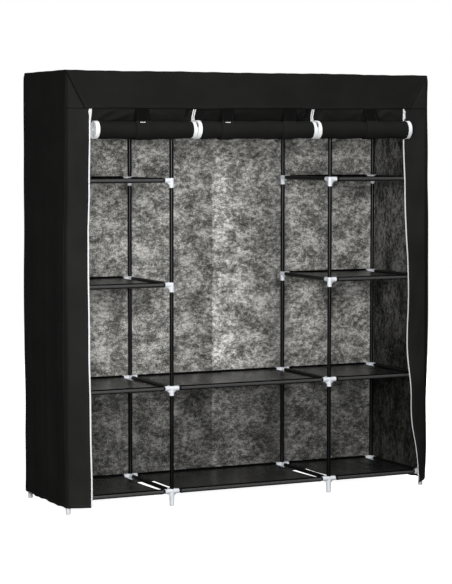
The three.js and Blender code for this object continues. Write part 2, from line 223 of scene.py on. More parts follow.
threadLook = {
    "colour": (0.012, 0.012, 0.0118), "pale": (0.03, 0.03, 0.029), "shine": 0.3, "gloss": 0.55,
    "noises": [(2600, 1)], "tone": None, "dulls": (0.2,), "lifts": (1,), "relief": 0.00008,
}
tackLook = {**threadLook, "colour": (0.72, 0.72, 0.70), "pale": (0.85, 0.85, 0.84)}


def mixed(noises, shares):
    return sum(share * noise for noise, share in zip(noises, shares) if share)


def plainFinish(name, look):
    # the first noise also shifts the tone
    finish = Finish(name, **{"Specular IOR Level": look["shine"]})
    noises = [finish.noise(*noise) for noise in look["noises"]]
    mask = finish.step(noises[0], *look["tone"]) if look["tone"] else noises[0]
    finish.colour(finish.blend(mask, look["colour"], look["pale"]))
    finish.rough(look["gloss"] + mixed(noises, look["dulls"]))
    height = mixed(noises, look["lifts"])
    if "ribs" in look:
        height = look["ribLift"] * finish.sine(look["ribs"] * finish.along(2)) + height
    finish.bump(height, look["relief"])
    return finish.material


coverLook = {
    "colour": (0.0066, 0.0065, 0.0062), "pale": (0.0108, 0.0107, 0.0102), "shine": 0.12, "gloss": 0.74,
    "cloud": (7, 4, 0.55), "fibres": (330, 3, 0.65), "tone": (0.35, 0.68), "bond": 2600, "bondEdge": (0.2, 0.9),
    "relief": 0.00012,
}
# the flange is painted lighter for the light falling on it; its turned edge beside its side seam gets painted shade,
# darker: from, to and how much is left
litFlangeLook = {
    **coverLook, "colour": (0.0102, 0.0101, 0.0096), "pale": (0.0158, 0.0157, 0.0150), "valley": (0.756, 0.772, 0.32),
}
# painted shade: a near-black copy of the cover cloth for the shadow in the header's seams
seamShadeLook = {**coverLook, "colour": (0.0016, 0.0016, 0.0015), "pale": (0.0026, 0.0026, 0.0025), "gloss": 0.9}
# painted shade: a darker copy of the cover cloth for the recessed centre curtain
shadedLook = {**coverLook, "colour": (0.0036, 0.0036, 0.0034), "pale": (0.0058, 0.0057, 0.0055), "gloss": 0.8}
# painted shade: a near-black copy of the cover cloth for the ties' free part between header and roll
tieShadeLook = {
    **coverLook, "colour": (0.0012, 0.0012, 0.0012), "pale": (0.0022, 0.0022, 0.0021), "gloss": 0.9, "bond": 3600,
}


def coverFabric(name, look):
    # spun cloth with a fine field of bonded points
    finish = Finish(name, **{"Specular IOR Level": look["shine"]})
    cloud, fibres = finish.noise(*look["cloud"]), finish.noise(*look["fibres"])
    x, y, z = (finish.along(axis) for axis in range(3))
    bonds = finish.step(finish.sine(look["bond"] * (x + y)) * finish.sine(look["bond"] * z), *look["bondEdge"])
    mask = finish.step(cloud * 0.6 + fibres * 0.4, *look["tone"])
    tone = finish.blend(mask, look["colour"], look["pale"])
    # painted shade along the flange's turned edge beside its corner seam
    if "valley" in look:
        low, high, share = look["valley"]
        out = finish.node("Math", {"operation": "ABSOLUTE"}, {0: x}) + 0.006 * cloud
        tone = finish.tint(tone, finish.step(out, low, high, 1.0, share))
    finish.colour(tone)
    finish.rough(look["gloss"] + 0.2 * cloud)
    finish.bump(fibres * 0.6 - bonds * 0.5 + 0.5, look["relief"])
    return finish.material


# fall is painted shade, the lining painted darker downwards: from, to and the share left below
liningLook = {
    "dark": (0.048, 0.048, 0.043), "middle": (0.210, 0.208, 0.195), "light": (0.66, 0.65, 0.62),
    "shine": 0.1, "gloss": 0.92, "shares": (0.30, 0.27, 0.43), "relief": 0.0005, "strength": 0.6,
}
backLook = {
    **liningLook, "level": 1.0, "streak": 0.0, "spread": 0.078, "fall": (0.20, 0.52, 0.36),
    # painted light and shade at packing folds in X: middle, half width and the light left on their right; they fade
    # out between two heights
    "folds": [(-0.235, 0.030, 1.20), (-0.196, 0.002, 0.86), (-0.190, 0.002, 1.12), (-0.062, 0.050, 0.72),
              (0.0265, 0.0022, 1.80), (0.150, 0.085, 0.66), (0.244, 0.002, 0.88), (0.290, 0.060, 0.88),
              (0.372, 0.020, 1.40), (0.498, 0.002, 1.10), (0.503, 0.002, 0.88)],
    "faint": (1.12, 1.38, 0.25),
}
sideLook = {**liningLook, "level": 0.34, "streak": 0.9, "spread": 0.056, "fall": (0.40, 1.05, 0.24), "folds": []}


def liningFabric(name, look):
    # the pale inner face: spun fibres lie in clumps, drawn out along the cloth where it is streaked
    finish = Finish(name, **{"Specular IOR Level": look["shine"], "Roughness": look["gloss"]})
    streak, spread = look["streak"], look["spread"]
    across = 0.6 + 0.4 * streak
    clumps = finish.noise(12, 4, 0.6, (0.8 + 0.2 * streak, 1, 1.1 - 0.6 * streak))
    tufts = finish.noise(64, 3, 0.6, (across + 0.15, 1, 1.2 - 0.7 * streak))
    specks = finish.noise(230, 3, 0.8, (across + 0.3, 1, 1.2 - 0.8 * streak))
    mottle = mixed((clumps, tufts, specks), look["shares"])
    stops = [(0.5 - spread, look["dark"]), (0.50, look["middle"]), (0.5 + 1.1 * spread, look["light"])]
    tone = finish.node("ValToRGB", {"stops": stops}, {0: mottle})
    # painted shade: darker towards the bottom
    low, high, share = look["fall"]
    amount = look["level"] * finish.step(finish.along(2), low, high, share, 1.0)
    # painted light and shade: the back is painted lighter or darker across each packing fold
    if look["folds"]:
        x, paintedFoldLight = finish.along(0), 1.0
        for place, reach, share in look["folds"]:
            paintedFoldLight = paintedFoldLight * finish.step(x, place - reach, place + reach, 1.0, share)
        low, high, share = look["faint"]
        amount = amount * (1.0 + (paintedFoldLight - 1.0) * finish.step(finish.along(2), low, high, 1.0, share))
    finish.colour(finish.tint(tone, amount))
    finish.bump(tufts * 0.5 + specks * 0.5, look["relief"], look["strength"])
    return finish.material


steel, plastic = plainFinish("paintedSteel", steelLook), plainFinish("mouldedPlastic", plasticLook)
shelfCloth, litSleeveCloth = plainFinish("shelfFabric", shelfLook), plainFinish("litSleeveFabric", litSleeveLook)
sleeveShade = plainFinish("sleeveShade", shadeLook)
coverCloth, litFlangeCloth = coverFabric("coverFabric", coverLook), coverFabric("litFlangeFabric", litFlangeLook)
seamShadeCloth, shadedCloth = coverFabric("seamShadeFabric", seamShadeLook), coverFabric("shadedFabric", shadedLook)
tieShadeWebbing = coverFabric("tieShadeWebbing", tieShadeLook)
backLining, sideLining = liningFabric("backLining", backLook), liningFabric("sideLining", sideLook)
whiteTape, whitePlastic = plainFinish("zipTape", tapeLook), plainFinish("whitePlastic", sliderLook)
blackThread, whiteThread = plainFinish("blackThread", threadLook), plainFinish("whiteThread", tackLook)
print("finishes made")


# mesh helpers; a part is its points, its faces and a finish number for each face

def unit(vector):
    vector = np.asarray(vector, float)
    return vector / np.linalg.norm(vector)


def ring(first, second, steps):
    # directions once round from first towards second
    turn = 2 * np.pi * np.arange(steps) / steps
    return np.cos(turn)[:, None] * first + np.sin(turn)[:, None] * second


def pathLength(points):
    return float(np.linalg.norm(np.diff(np.asarray(points), axis=0), axis=1).sum())


def gridFaces(rows, columns, wrapRows=False, wrapColumns=False):
    i, j = np.meshgrid(np.arange(rows - 1 + wrapRows), np.arange(columns - 1 + wrapColumns), indexing="ij")
    down, across = (i + 1) % rows, (j + 1) % columns
    quads = np.stack([i * columns + j, i * columns + across, down * columns + across, down * columns + j], -1)
    return quads.reshape(-1, 4)


def capped(faces, rows, steps):
    # closes both ends of a round grid
    last = (rows - 1) * steps
    return faces + [list(range(steps)), list(range(last + steps - 1, last - 1, -1))]


def turned(profile, start, direction, steps, closed=True):
    # pairs of distance along and radius, turned round an axis; an open profile gets flat ends
    axis = unit(direction)
    side = unit(np.cross(axis, (0, 0, 1) if abs(axis[2]) < 0.9 else (1, 0, 0)))
    around = ring(side, np.cross(axis, side), steps)
    points = np.concatenate([np.asarray(start) + along * axis + radius * around for along, radius in profile])
    faces = gridFaces(len(profile), steps, wrapRows=closed, wrapColumns=True).tolist()
    if not closed:
        faces = capped(faces, len(profile), steps)
    return points, faces, [0] * len(faces)


def prism(outline, origin, first, second, thickness):
    # a flat outline given along two axes, thickened evenly to both sides
    first, second = np.asarray(first, float), np.asarray(second, float)
    across = np.cross(first, second) * thickness / 2
    flat = np.array([np.asarray(origin) + a * first + b * second for a, b in outline])
    count = len(outline)
    faces = [list(range(count))[::-1], list(range(count, 2 * count))]
    faces += [[k, (k + 1) % count, count + (k + 1) % count, count + k] for k in range(count)]
    return np.concatenate([flat - across, flat + across]), faces, [0] * len(faces)


def surfaceNormals(points):
    normals = np.cross(np.gradient(points, axis=1), np.gradient(points, axis=0))
    return normals / np.maximum(np.linalg.norm(normals, axis=-1, keepdims=True), 1e-12)


def clothSheet(points, thickness, inner=0):
    # a closed sheet round a grid of middle points; across x up is its outer side
    rows, columns = points.shape[:2]
    half = np.broadcast_to(np.asarray(thickness, float), (rows, columns))[..., None] / 2
    normals = surfaceNormals(points)
    flat = np.concatenate([(points + normals * half).reshape(-1, 3), (points - normals * half).reshape(-1, 3)])
    quads = gridFaces(rows, columns)
    size = rows * columns
    edge = np.concatenate([
        np.arange(columns - 1), np.arange(rows - 1) * columns + columns - 1,
        size - 1 - np.arange(columns - 1), (rows - 1 - np.arange(rows - 1)) * columns])
    follow = np.roll(edge, -1)
    rim = np.stack([edge, edge + size, follow + size, follow], -1)
    faces = quads.tolist() + (quads[:, ::-1] + size).tolist() + rim.tolist()
    marks = [0] * len(quads) + [inner] * len(quads) + [0] * len(rim)
    return flat, faces, marks


def cord(path, radius, steps=8):
    # a round cord along a path of points
    path = np.asarray(path, float)
    along = np.gradient(path, axis=0)
    along /= np.maximum(np.linalg.norm(along, axis=1, keepdims=True), 1e-12)
    side = np.cross(along, (0.31, 0.52, 0.79))  # a guide that no path here follows
    side /= np.linalg.norm(side, axis=1, keepdims=True)
    other = np.cross(along, side)
    turn = (2 * np.pi * np.arange(steps) / steps)[None, :, None]
    points = path[:, None] + radius * (np.cos(turn) * side[:, None] + np.sin(turn) * other[:, None])
    faces = capped(gridFaces(len(path), steps, wrapColumns=True).tolist(), len(path), steps)
    return points.reshape(-1, 3), faces, [0] * len(faces)


stitchPlan = {"length": 0.0034, "pitch": 0.0050, "radius": 0.00034, "sides": 5}


def stitches(path, normal, plan=stitchPlan):
    # a row of short threads lying on a seam
    path = np.asarray(path, float)
    travel = np.concatenate([[0], np.cumsum(np.linalg.norm(np.diff(path, axis=0), axis=1))])
    radii = plan["radius"] * np.array((0.25, 1, 1, 0.25))
    lift = unit(normal) * plan["radius"] * 0.5
    threads = []
    for place in np.arange(plan["pitch"], travel[-1] - plan["length"], plan["pitch"]):
        where = place + plan["length"] * np.array((0, 0.18, 0.82, 1.0))
        spots = np.stack([np.interp(where, travel, path[:, k]) for k in range(3)], -1)
        along = unit(spots[-1] - spots[0])
        side = unit(np.cross(along, normal))
        around = ring(side, unit(np.cross(side, along)), plan["sides"])
        threads.append((spots[:, None] + radii[:, None, None] * around[None] + lift).reshape(-1, 3))
    if not threads:
        return np.zeros((0, 3)), [], []
    quads = gridFaces(len(radii), plan["sides"], wrapColumns=True)
    faces = np.concatenate([quads + len(radii) * plan["sides"] * k for k in range(len(threads))]).tolist()
    return np.concatenate(threads), faces, [0] * len(faces)


def meshOf(name, parts, finishes, crease):
    points = np.concatenate([part[0] for part in parts])
    faces, marks, start = [], [], 0
    for partPoints, partFaces, partMarks in parts:
        faces += [[start + corner for corner in face] for face in partFaces]
        marks += list(partMarks)
        start += len(partPoints)
    mesh = bpy.data.meshes.new(name)
    mesh.from_pydata(points.tolist(), [], faces)
    for finish in finishes:
        mesh.materials.append(finish)
    mesh.polygons.foreach_set("material_index", np.array(marks, np.int32))
    mesh.update()
    mesh.shade_smooth()
    mesh.set_sharp_from_angle(angle=math.radians(crease))
    return mesh


def addPiece(name, parts, finishes, nodes, body="wardrobe", crease=40):
    piece = bpy.data.objects.new(name, meshOf(name, parts, finishes, crease))
    scene.collection.objects.link(piece)
    if body:
        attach(piece, body)
    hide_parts(*nodes)
    return piece


def addSewn(node, sheet, finishes, lines, normal, crease=60):
    # a cloth and the stitches along its sewn lines
    cloth = addPiece(f"{node}_cloth", [sheet], finishes, [node], crease=crease)
    seams = [stitches(line, normal) for line in lines]
    return cloth, addPiece(f"{node}_stitching", seams, [blackThread], [node])


# where the frame stands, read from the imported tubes

def corners(node):
    low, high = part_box(node)
    return np.array(low), np.array(high)


tubePlan = {"radius": 0.008, "bore": 0.007, "end": 0.0303, "edge": 0.0005, "overlap": 0.002, "steps": 28}
sides = ["left_outer", "left_inner", "right_inner", "right_outer"]
postRows = ["front", "rear"]
# a bay's first and last post and its number of shelves
bays = {"left": ("left_outer", "left_inner", 4), "centre": ("left_inner", "right_inner", 2),
        "right": ("right_inner", "right_outer", 4)}
postX = {side: sum(corners(f"depth_tube_{side}_1"))[0] / 2 for side in sides}
levels = [sum(corners(f"depth_tube_left_outer_{number}"))[2] / 2 for number in range(1, 6)]
depthLow, depthHigh = (corner[1] for corner in corners("depth_tube_left_outer_1"))
postY = {"front": depthLow - tubePlan["end"], "rear": depthHigh + tubePlan["end"]}
railDepth = postY["rear"] - postY["front"]


def tube(start, direction, length):
    radius, bore, edge = tubePlan["radius"], tubePlan["bore"], tubePlan["edge"]
    profile = [(0, bore), (0, radius - edge), (edge, radius), (length - edge, radius),
               (length, radius - edge), (length, bore)]
    return turned(profile, start, direction, tubePlan["steps"])


def crossTube(bay, row, height):
    start, end, _ = bays[bay]
    low = postX[start] + tubePlan["end"] - tubePlan["overlap"]
    high = postX[end] - tubePlan["end"] + tubePlan["overlap"]
    return tube((low, postY[row], height), (1, 0, 0), high - low)


# connectors, one moulding for each mix of arms

connectorPlan = {
    "radius": 0.0085, "armReach": 0.028, "collarDrop": 0.028, "hubRise": 0.009, "steps": 32,
    "ribThickness": 0.0040, "ribInset": 0.003, "ribDrop": 0.0195, "lip": 0.0006, "lipLength": 0.0032,
    "detail": 0.0014, "softness": 5, "seat": 0.003,
}


def softJoined(parts, plan):
    # melts overlapping solids into one moulding with small fillets
    mesh = meshOf("moulding", parts, [], 60)
    solid = bpy.data.objects.new("moulding", mesh)
    scene.collection.objects.link(solid)
    remesh = solid.modifiers.new("melt", "REMESH")
    remesh.mode, remesh.voxel_size, remesh.use_smooth_shade = "VOXEL", plan["detail"], True
    smoothing = solid.modifiers.new("soften", "SMOOTH")
    smoothing.factor, smoothing.iterations = 0.5, plan["softness"]
    shown = solid.evaluated_get(bpy.context.evaluated_depsgraph_get()).to_mesh()
    points = np.array([v.co for v in shown.vertices])
    faces = [list(face.vertices) for face in shown.polygons]
    bpy.data.objects.remove(solid)
    bpy.data.meshes.remove(mesh)
    return points, faces


def lipRing(far, away, direction, plan):
    # a raised lip whose flat end lies far along; away is 1 when the arm ends there and -1 when it starts there
    radius, lip, edge = plan["radius"], plan["lip"], plan["lip"]
    near = far - away * plan["lipLength"]
    profile = [(near, radius - 0.001), (near, radius + lip * 0.6), (near + away * edge, radius + lip),
               (far - away * edge, radius + lip), (far, radius + lip * 0.5), (far, radius - 0.001)]
    return turned(profile[::away], (0, 0, 0), direction, plan["steps"])


def connectorMoulding(arms, legLength, plan):
    # legLength is the foot's height for the lowest connectors
    drop = legLength or plan["collarDrop"]
    grow = plan["detail"] * 0.35  # what the softening takes off
    radius, reach, rise = plan["radius"], plan["armReach"], plan["hubRise"]
    collar = [(-drop, radius * 0.93), (-drop + 0.001, radius + grow), (rise - 0.001, radius + grow),
              (rise, radius * 0.94)]
    parts = [turned(collar, (0, 0, 0), (0, 0, 1), plan["steps"], closed=False)]
    lips = []
    inner = radius / 2
    rib = [(inner, -inner), (reach - plan["ribInset"], -inner),
           (inner + plan["ribInset"], -plan["ribDrop"]), (inner, -plan["ribDrop"])]
    for arm in arms:
        profile = [(0, radius + grow), (reach - 0.0008, radius + grow), (reach, radius * 0.95)]
        parts.append(turned(profile, (0, 0, 0), arm, plan["steps"], closed=False))
        parts.append(prism(rib, (0, 0, 0), arm, (0, 0, 1), plan["ribThickness"] + grow))
        lips.append(lipRing(reach, 1, arm, plan))
    points, faces = softJoined(parts, plan)
    points[:, 2] = np.clip(points[:, 2], -drop, rise)
    if not legLength:
        lips.append(lipRing(-drop, -1, (0, 0, 1), plan))
    return [(points, faces, [0] * len(faces)), *lips]


mouldings = {}


def connectorAt(side, row, level):
    arms = [(0, 1, 0) if row == "front" else (0, -1, 0)]
    for start, end, shelves in bays.values():
        if level < shelves or level == 4:
            arms += [(1, 0, 0)] * (side == start) + [(-1, 0, 0)] * (side == end)
    legLength = levels[0] if level == 0 else 0
    key = (tuple(arms), legLength)
    if key not in mouldings:
        mouldings[key] = connectorMoulding(arms, legLength, connectorPlan)
    place = np.array((postX[side], postY[row], levels[level]))
    return [(points + place, faces, marks) for points, faces, marks in mouldings[key]]


def addUprights(plan):
    for side in sides:
        for row in postRows:
            name = f"{row}_{side}"
            tubes = []
            for level in range(4):
                low = levels[level] + plan["hubRise"] - plan["seat"]
                high = levels[level + 1] - plan["collarDrop"] + plan["seat"]
                tubes.append(tube((postX[side], postY[row], low), (0, 0, 1), high - low))
            addPiece(f"post_tubes_{name}", tubes, [steel], [f"upright_{name}"])
            mould = [part for level in range(5) for part in connectorAt(side, row, level)]
            addPiece(f"connectors_{name}", mould, [plastic], [f"upright_{name}"], crease=70)


addUprights(connectorPlan)
print("posts and connectors made")


# loose tubes of the frame and the hanging rail

def addTubes():
    low, high = depthLow - tubePlan["overlap"], depthHigh + tubePlan["overlap"]
    for side in sides:
        for level in range(5):
            rail = tube((postX[side], low, levels[level]), (0, 1, 0), high - low)
            addPiece(f"depth_rail_{side}_{level + 1}", [rail], [steel], [f"depth_tube_{side}_{level + 1}"])
    for bay in bays:
        for row in postRows:
            rail = crossTube(bay, row, levels[4])
            addPiece(f"top_tube_{row}_{bay}", [rail], [steel], [f"top_rail_{row}_{bay}"])


railPlan = {
    "clipWall": 0.002, "clipLength": 0.022, "clipEdge": 0.0008, "gap": 0.0002, "mouth": 35, "bridge": 0.0105,
    "socket": [(0, 0.0065), (0, 0.0094), (0.001, 0.0100), (0.021, 0.0100), (0.022, 0.0094), (0.022, 0.0065)],
}


def snapClip(x, y, height, plan):
    # an open loop round a rail, drawn out along it
    inner = tubePlan["radius"] + plan["gap"]
    outer = inner + plan["clipWall"]
    sweep = np.radians(np.linspace(90 + plan["mouth"], 450 - plan["mouth"], 41))
    loop = [(x + outer * math.cos(a), height + outer * math.sin(a)) for a in sweep]
    loop += [(x + inner * math.cos(a), height + inner * math.sin(a)) for a in sweep[::-1]]
    half, edge, count = plan["clipLength"] / 2, plan["clipEdge"], len(loop)
    points = [(px, y + along, pz) for along in (-half, -half + edge, half - edge, half) for px, pz in loop]
    faces = gridFaces(4, count, wrapColumns=True).tolist()
    for base, turn in ((0, 1), (3 * count, -1)):
        for k in range(len(sweep) - 1):
            faces.append([base + k, base + k + 1, base + count - 2 - k, base + count - 1 - k][::turn])
    return np.array(points), faces, [0] * len(faces)


def addHangingRail(plan):
    # a tube between two clips that snap up over the inner top rails
    y, height, bridge = (postY["front"] + postY["rear"]) / 2, levels[4], plan["bridge"]
    clips = []
    for side, way in (("left_inner", 1), ("right_inner", -1)):
        clips.append(snapClip(postX[side], y, height, plan))
        clips.append(turned(plan["socket"], (postX[side] + way * bridge * 0.9, y, height), (way, 0, 0), 28))
    start = postX["left_inner"] + bridge
    length = postX["right_inner"] - postX["left_inner"] - 2 * bridge
    addPiece("hanging_tube", [tube((start, y, height), (1, 0, 0), length)], [steel], ["hanging_rail"])
    addPiece("hanging_tube_clips", clips, [plastic], ["hanging_rail"])


addTubes()
addHangingRail(railPlan)
print("rails made")


# shelves: a sheet sewn into a sleeve at the front and the back

shelfPlan = {
    "endMargin": 0.0365, "cloth": 0.0011, "ease": 0.0004, "sag": 0.0035, "seamReach": 0.019, "leave": 16,
    "edgeSag": 0.0008, "edgeReach": 0.030, "hem": 0.010, "hemExtra": 0.0009, "ripple": 0.0005, "column": 0.007,
    "swells": (0.12, 0.06), "turns": 30, "across": 30,
    # parts of a sleeve's section for its painted highlight and painted shade: how near the rail, and the heights about
    # its middle
    "round": (0.011, -0.0085), "under": -0.0035, "lit": (-0.003, -0.0035, 0.0052),
}


def shelfProfile(plan, sag, edge):
    # the sleeve and sheet in Y and Z about the rails, from the front's sewn line to the rear's
    radius = tubePlan["radius"] + plan["ease"] + plan["cloth"] / 2
    leave = math.radians(plan["leave"])
    start, level = radius * math.cos(leave), radius * math.sin(leave)
    reach, under = plan["seamReach"], level - plan["cloth"] * 1.15
    tangent = math.atan2(under, reach) - math.acos(radius / math.hypot(reach, under))
    arc = np.linspace(tangent, tangent - (2 * math.pi - (leave - tangent)), plan["turns"])
    front = [(reach, under)] + [(radius * math.cos(a), radius * math.sin(a)) for a in arc]
    sheet = []
    for share in np.linspace(0, 1, plan["across"])[1:-1]:
        hang = math.sin(math.pi * share)
        sheet.append((start + (railDepth - 2 * start) * share, level - sag * hang - edge * math.sqrt(hang)))
    rear = [(railDepth - y, z) for y, z in front[::-1]]
    return np.array(front + sheet + rear)


def sleeveMarked(part, height, plan):
    # the front sleeve's lit face takes a painted highlight copy of the cloth; its top seam and the rear sleeve take
    # painted shade
    points, faces, _ = part
    middles = np.array([points[list(face)].mean(0) for face in faces])
    y, z = middles[:, 1] - postY["front"], middles[:, 2] - height
    near, low = plan["round"]
    litY, litLow, litHigh = plan["lit"]
    marks = np.where((np.abs(y) < near) & (z > low), 2, 0)
    marks[(y < 0) & (z < plan["under"])] = 0
    marks[(y < litY) & (z > litLow) & (z < litHigh)] = 1
    marks[middles[:, 1] > postY["rear"] - near] = 2
    return points, faces, marks.tolist()


def addShelf(bay, number, plan, seed):
    start, end, _ = bays[bay]
    height = levels[number - 1]
    low, high = postX[start] + plan["endMargin"], postX[end] - plan["endMargin"]
    columns = max(24, int((high - low) / plan["column"]))
    share = np.linspace(0, 1, columns)
    x = low + (high - low) * share
    phase = np.random.default_rng(seed).uniform(0, 2 * np.pi, 4)
    wide, fine = plan["swells"]
    lines = []
    for k in range(columns):
        turn = math.pi * share[k]
        swell = 1 + wide * math.sin(2 * turn + phase[0]) + fine * math.sin(6 * turn + phase[1])
        edge = plan["edgeSag"] * math.exp(-min(x[k] - low, high - x[k]) / plan["edgeReach"])
        profile = shelfProfile(plan, plan["sag"] * swell, edge)
        across = profile[:, 0] / railDepth
        calm = np.clip(np.sin(np.pi * np.clip(across, 0, 1)), 0, 1)
        ripple = np.sin(31 * share[k] + 5 * across + phase[2]) + np.sin(17 * share[k] - 9 * across + phase[3])
        lines.append(np.stack([np.full(len(profile), x[k]), postY["front"] + profile[:, 0],
                               height + profile[:, 1] + plan["ripple"] * calm * ripple], -1))
    points = np.stack(lines, 1)
    hemmed = np.minimum(x - low, high - x) < 0.98 * plan["hem"]
    sheet = sleeveMarked(clothSheet(points, plan["cloth"] + plan["hemExtra"] * hemmed), height, plan)
    name = f"shelf_{bay}_{number}"
    tubes = addPiece(f"{name}_tubes", [crossTube(bay, row, height) for row in postRows], [steel], [name])
    sewn = plan["turns"] + 3  # two rows inside the sleeve's seam
    face = np.array((0, 0, plan["cloth"] / 2))
    hemFace = np.array((0, 0, (plan["cloth"] + plan["hemExtra"]) / 2))
    lines = [points[sewn] + face, points[-sewn - 1] + face]
    lines += [points[sewn + 1:-sewn - 1, column] + hemFace for column in (1, columns - 2)]
    # the plain cloth, the painted-highlight sleeve and the painted-shade sleeve
    finishes = [shelfCloth, litSleeveCloth, sleeveShade]
    cloth, thread = addSewn(name, sheet, finishes, lines, (0, 0, 1), crease=50)
    flat = (high - low, pathLength(points[:, columns // 2]))


seed = 11
for bay, (_, _, shelves) in bays.items():
    for number in range(1, shelves + 1):
        addShelf(bay, number, shelfPlan, seed)
        seed += 1
print("shelves made")


# the cover's corners, shared by all its walls

coverPlan = {
    "cloth": 0.0010, "hem": 0.012, "hemExtra": 0.0022, "rows": 110, "seam": 0.0016, "headerSeam": 0.0013,
    "mitreSeam": {-1: 0.0019, 1: 0.0002}, "bulge": 0.0065, "hemIn": 0.0030, "shoulder": 0.0030,
    "shift": {-1: 0.3, 1: 0.62}, "sideFold": 0.0035, "backFold": 0.0050, "clear": 0.0116, "clearEase": 0.0008,
    # the packing folds of the back, in X
    "packed": [-0.202, 0.024, 0.245, 0.503], "packedWidth": 0.006,
    # the doors push the front out between the two heights of bend, and less between the two places of straight
    "push": 0.0165, "bend": (1.05, 1.17), "straight": (0.30, 0.75),
    # how far the top's edge and the header's seam sit higher, at the left and at the right end
    "topLift": (0.0016, 0.0042), "seamLift": (0.0, 0.0095),
    "topDip": 0.0055, "rimDip": (0.35, 9), "topRipple": 0.0008, "round": 0.005, "roundDrop": 0.0022,
    # the hem's stitches: their height over the cloth's lower edge and how far out they lie
    "sewn": 0.0105, "sewnOut": 0.0017,
    # each corner's height and how far it is drawn to the right
    "drawn": {
        (-1, "front"): [
            (0.057, -0.0030), (0.168, -0.0015), (0.353, -0.0035), (0.574, -0.0028), (0.794, 0), (1.013, 0.0008),
            (1.158, 0.0012), (1.267, 0.0018), (1.357, 0.0028), (1.447, 0.0015), (1.609, 0.0012)],
        (-1, "rear"): [
            (0.029, -0.0034), (0.107, -0.0017), (0.263, -0.0002), (0.340, 0.0022), (0.495, 0.0032), (0.611, 0.0048),
            (0.726, 0.0034), (0.880, 0.0039), (1.033, 0.0038), (1.185, 0.0050), (1.337, 0.0052), (1.489, 0.0050),
            (1.565, 0.0035), (1.620, 0.0015)],
        (1, "front"): [
            (0.035, 0.0044), (0.116, 0.0072), (0.197, 0.0057), (0.277, 0.0011), (0.358, -0.0031), (0.438, -0.0005),
            (0.518, 0.0017), (0.598, 0.0032), (0.838, 0.0042), (0.917, 0.0023), (0.997, -0.0006), (1.156, -0.0027),
            (1.235, -0.0050), (1.314, -0.0043), (1.471, -0.0040), (1.550, -0.0034), (1.628, -0.0013)],
        (1, "rear"): [(0, 0), (1.7, 0)],
    },
}
topLow, topHigh = corners("cover_top")
halfWidth, frontY, rearY = topHigh[0], topLow[1], topHigh[1]
coverTop = topHigh[2] - coverPlan["cloth"] / 2
coverHem = corners("cover_back")[0][2]
headerSeam = corners("cover_header")[0][2]


def waves(value, terms):
    # a sum of sines, each with its size, rate and shift
    return sum(size * np.sin(2 * np.pi * (rate * value + shift)) for size, rate, shift in terms)


def smoothTable(table, value):
    heights, sizes = np.array(table).T
    near = [-0.03, -0.015, 0, 0.015, 0.03]
    return sum(np.interp(np.asarray(value) + shift, heights, sizes) for shift in near) / len(near)


def ramp(value, low, high):
    return np.clip((np.asarray(value, float) - low) / (high - low), 0, 1)


def smooth(value, low, high):
    share = ramp(value, low, high)
    return share * share * (3 - 2 * share)


def rise(height):
    return ramp(height, coverHem, coverTop)


def liftAt(x, edge):
    # the cover sits a little higher towards its right end
    left, right = coverPlan[edge]
    return left + (right - left) * (np.asarray(x, float) + halfWidth) / (2 * halfWidth)


def seamAt(x):
    return headerSeam + liftAt(x, "seamLift")


def seamWave(x):
    return 0.0011 * waves(x, [(1, 1.7, 0.15), (0.6, 4.1, 0.6)])


def pushAt(height, x):
    # the rolled doors push the top of the front outwards, less and less towards the right corner
    return coverPlan["push"] * ramp(height, *coverPlan["bend"]) * (1 - smooth(x, *coverPlan["straight"]))


def cornerAt(way, row, height):
    # the sewn corner of the cover; way is -1 for left and 1 for right
    share, shift = rise(height), coverPlan["shift"][way]
    shoulder = coverPlan["shoulder"] * ramp(share, 0.985, 1) ** 2
    swell = coverPlan["bulge"] * np.sin(np.pi * np.minimum(share / 1.1, 1)) - coverPlan["hemIn"] * (1 - share) ** 6
    swell = swell + waves(share, [(0.0011, 2.3, shift), (0.0006, 5.1, shift * 1.7)])
    lean = waves(share, [(0.0009, 1.9, shift + 0.2), (0.0005, 4.3, shift)])
    x = way * (halfWidth - coverPlan["cloth"] / 2 + swell - shoulder)
    x = x + smoothTable(coverPlan["drawn"][way, row], height)
    out, base = (1, rearY) if row == "rear" else (-1, frontY)
    y = base + out * (lean - shoulder * 0.6 - coverPlan["cloth"] / 2)
    return x, y - pushAt(height, way) * (row == "front")


def frontAt(x, height):
    # the front's place in Y between its two corners
    left, right = (cornerAt(way, "front", height)[1] + pushAt(height, way) for way in (-1, 1))
    return left + (right - left) * ramp(x, -halfWidth, halfWidth) - pushAt(height, x)


def hemPly(above, plan):
    # what a turned hem adds to the cloth; above is the height over the cloth's lower edge
    return plan["hemExtra"] * (1 - ramp(above, plan["hem"] - 0.0015, plan["hem"]))


def hemRows():
    # close rows over the hem, even rows above
    hem = np.array((0, 0.0008, 0.006, 0.0105, 0.0112, 0.0120, 0.0128, 0.016))
    return np.concatenate([coverHem + hem, np.linspace(coverHem + 0.024, coverTop, coverPlan["rows"])])


def hemRow(heights):
    # the row that carries the hem's stitches
    return int(np.argmin(abs(heights - coverHem - coverPlan["sewn"])))


def wallBetween(first, second, heights, columns, fold):
    # a wall from one corner line to another with folds across it
    share = np.linspace(0, 1, columns)
    (x0, y0), (x1, y1) = (cornerAt(*corner, heights) for corner in (first, second))
    x = x0[:, None] + (x1 - x0)[:, None] * share
    y = y0[:, None] + (y1 - y0)[:, None] * share
    direction = np.stack([y1 - y0, -(x1 - x0)], -1)
    direction /= np.linalg.norm(direction, axis=1, keepdims=True)
    grid, up = np.meshgrid(share, rise(heights))
    push = fold(grid, up)
    low = 0.0018 * waves(grid, [(1, 2.2, 0.1), (0.6, 5.3, 0.4)]) * (1 - up) ** 8
    return np.stack([x + direction[:, 0:1] * push, y + direction[:, 1:2] * push, heights[:, None] + low], -1)


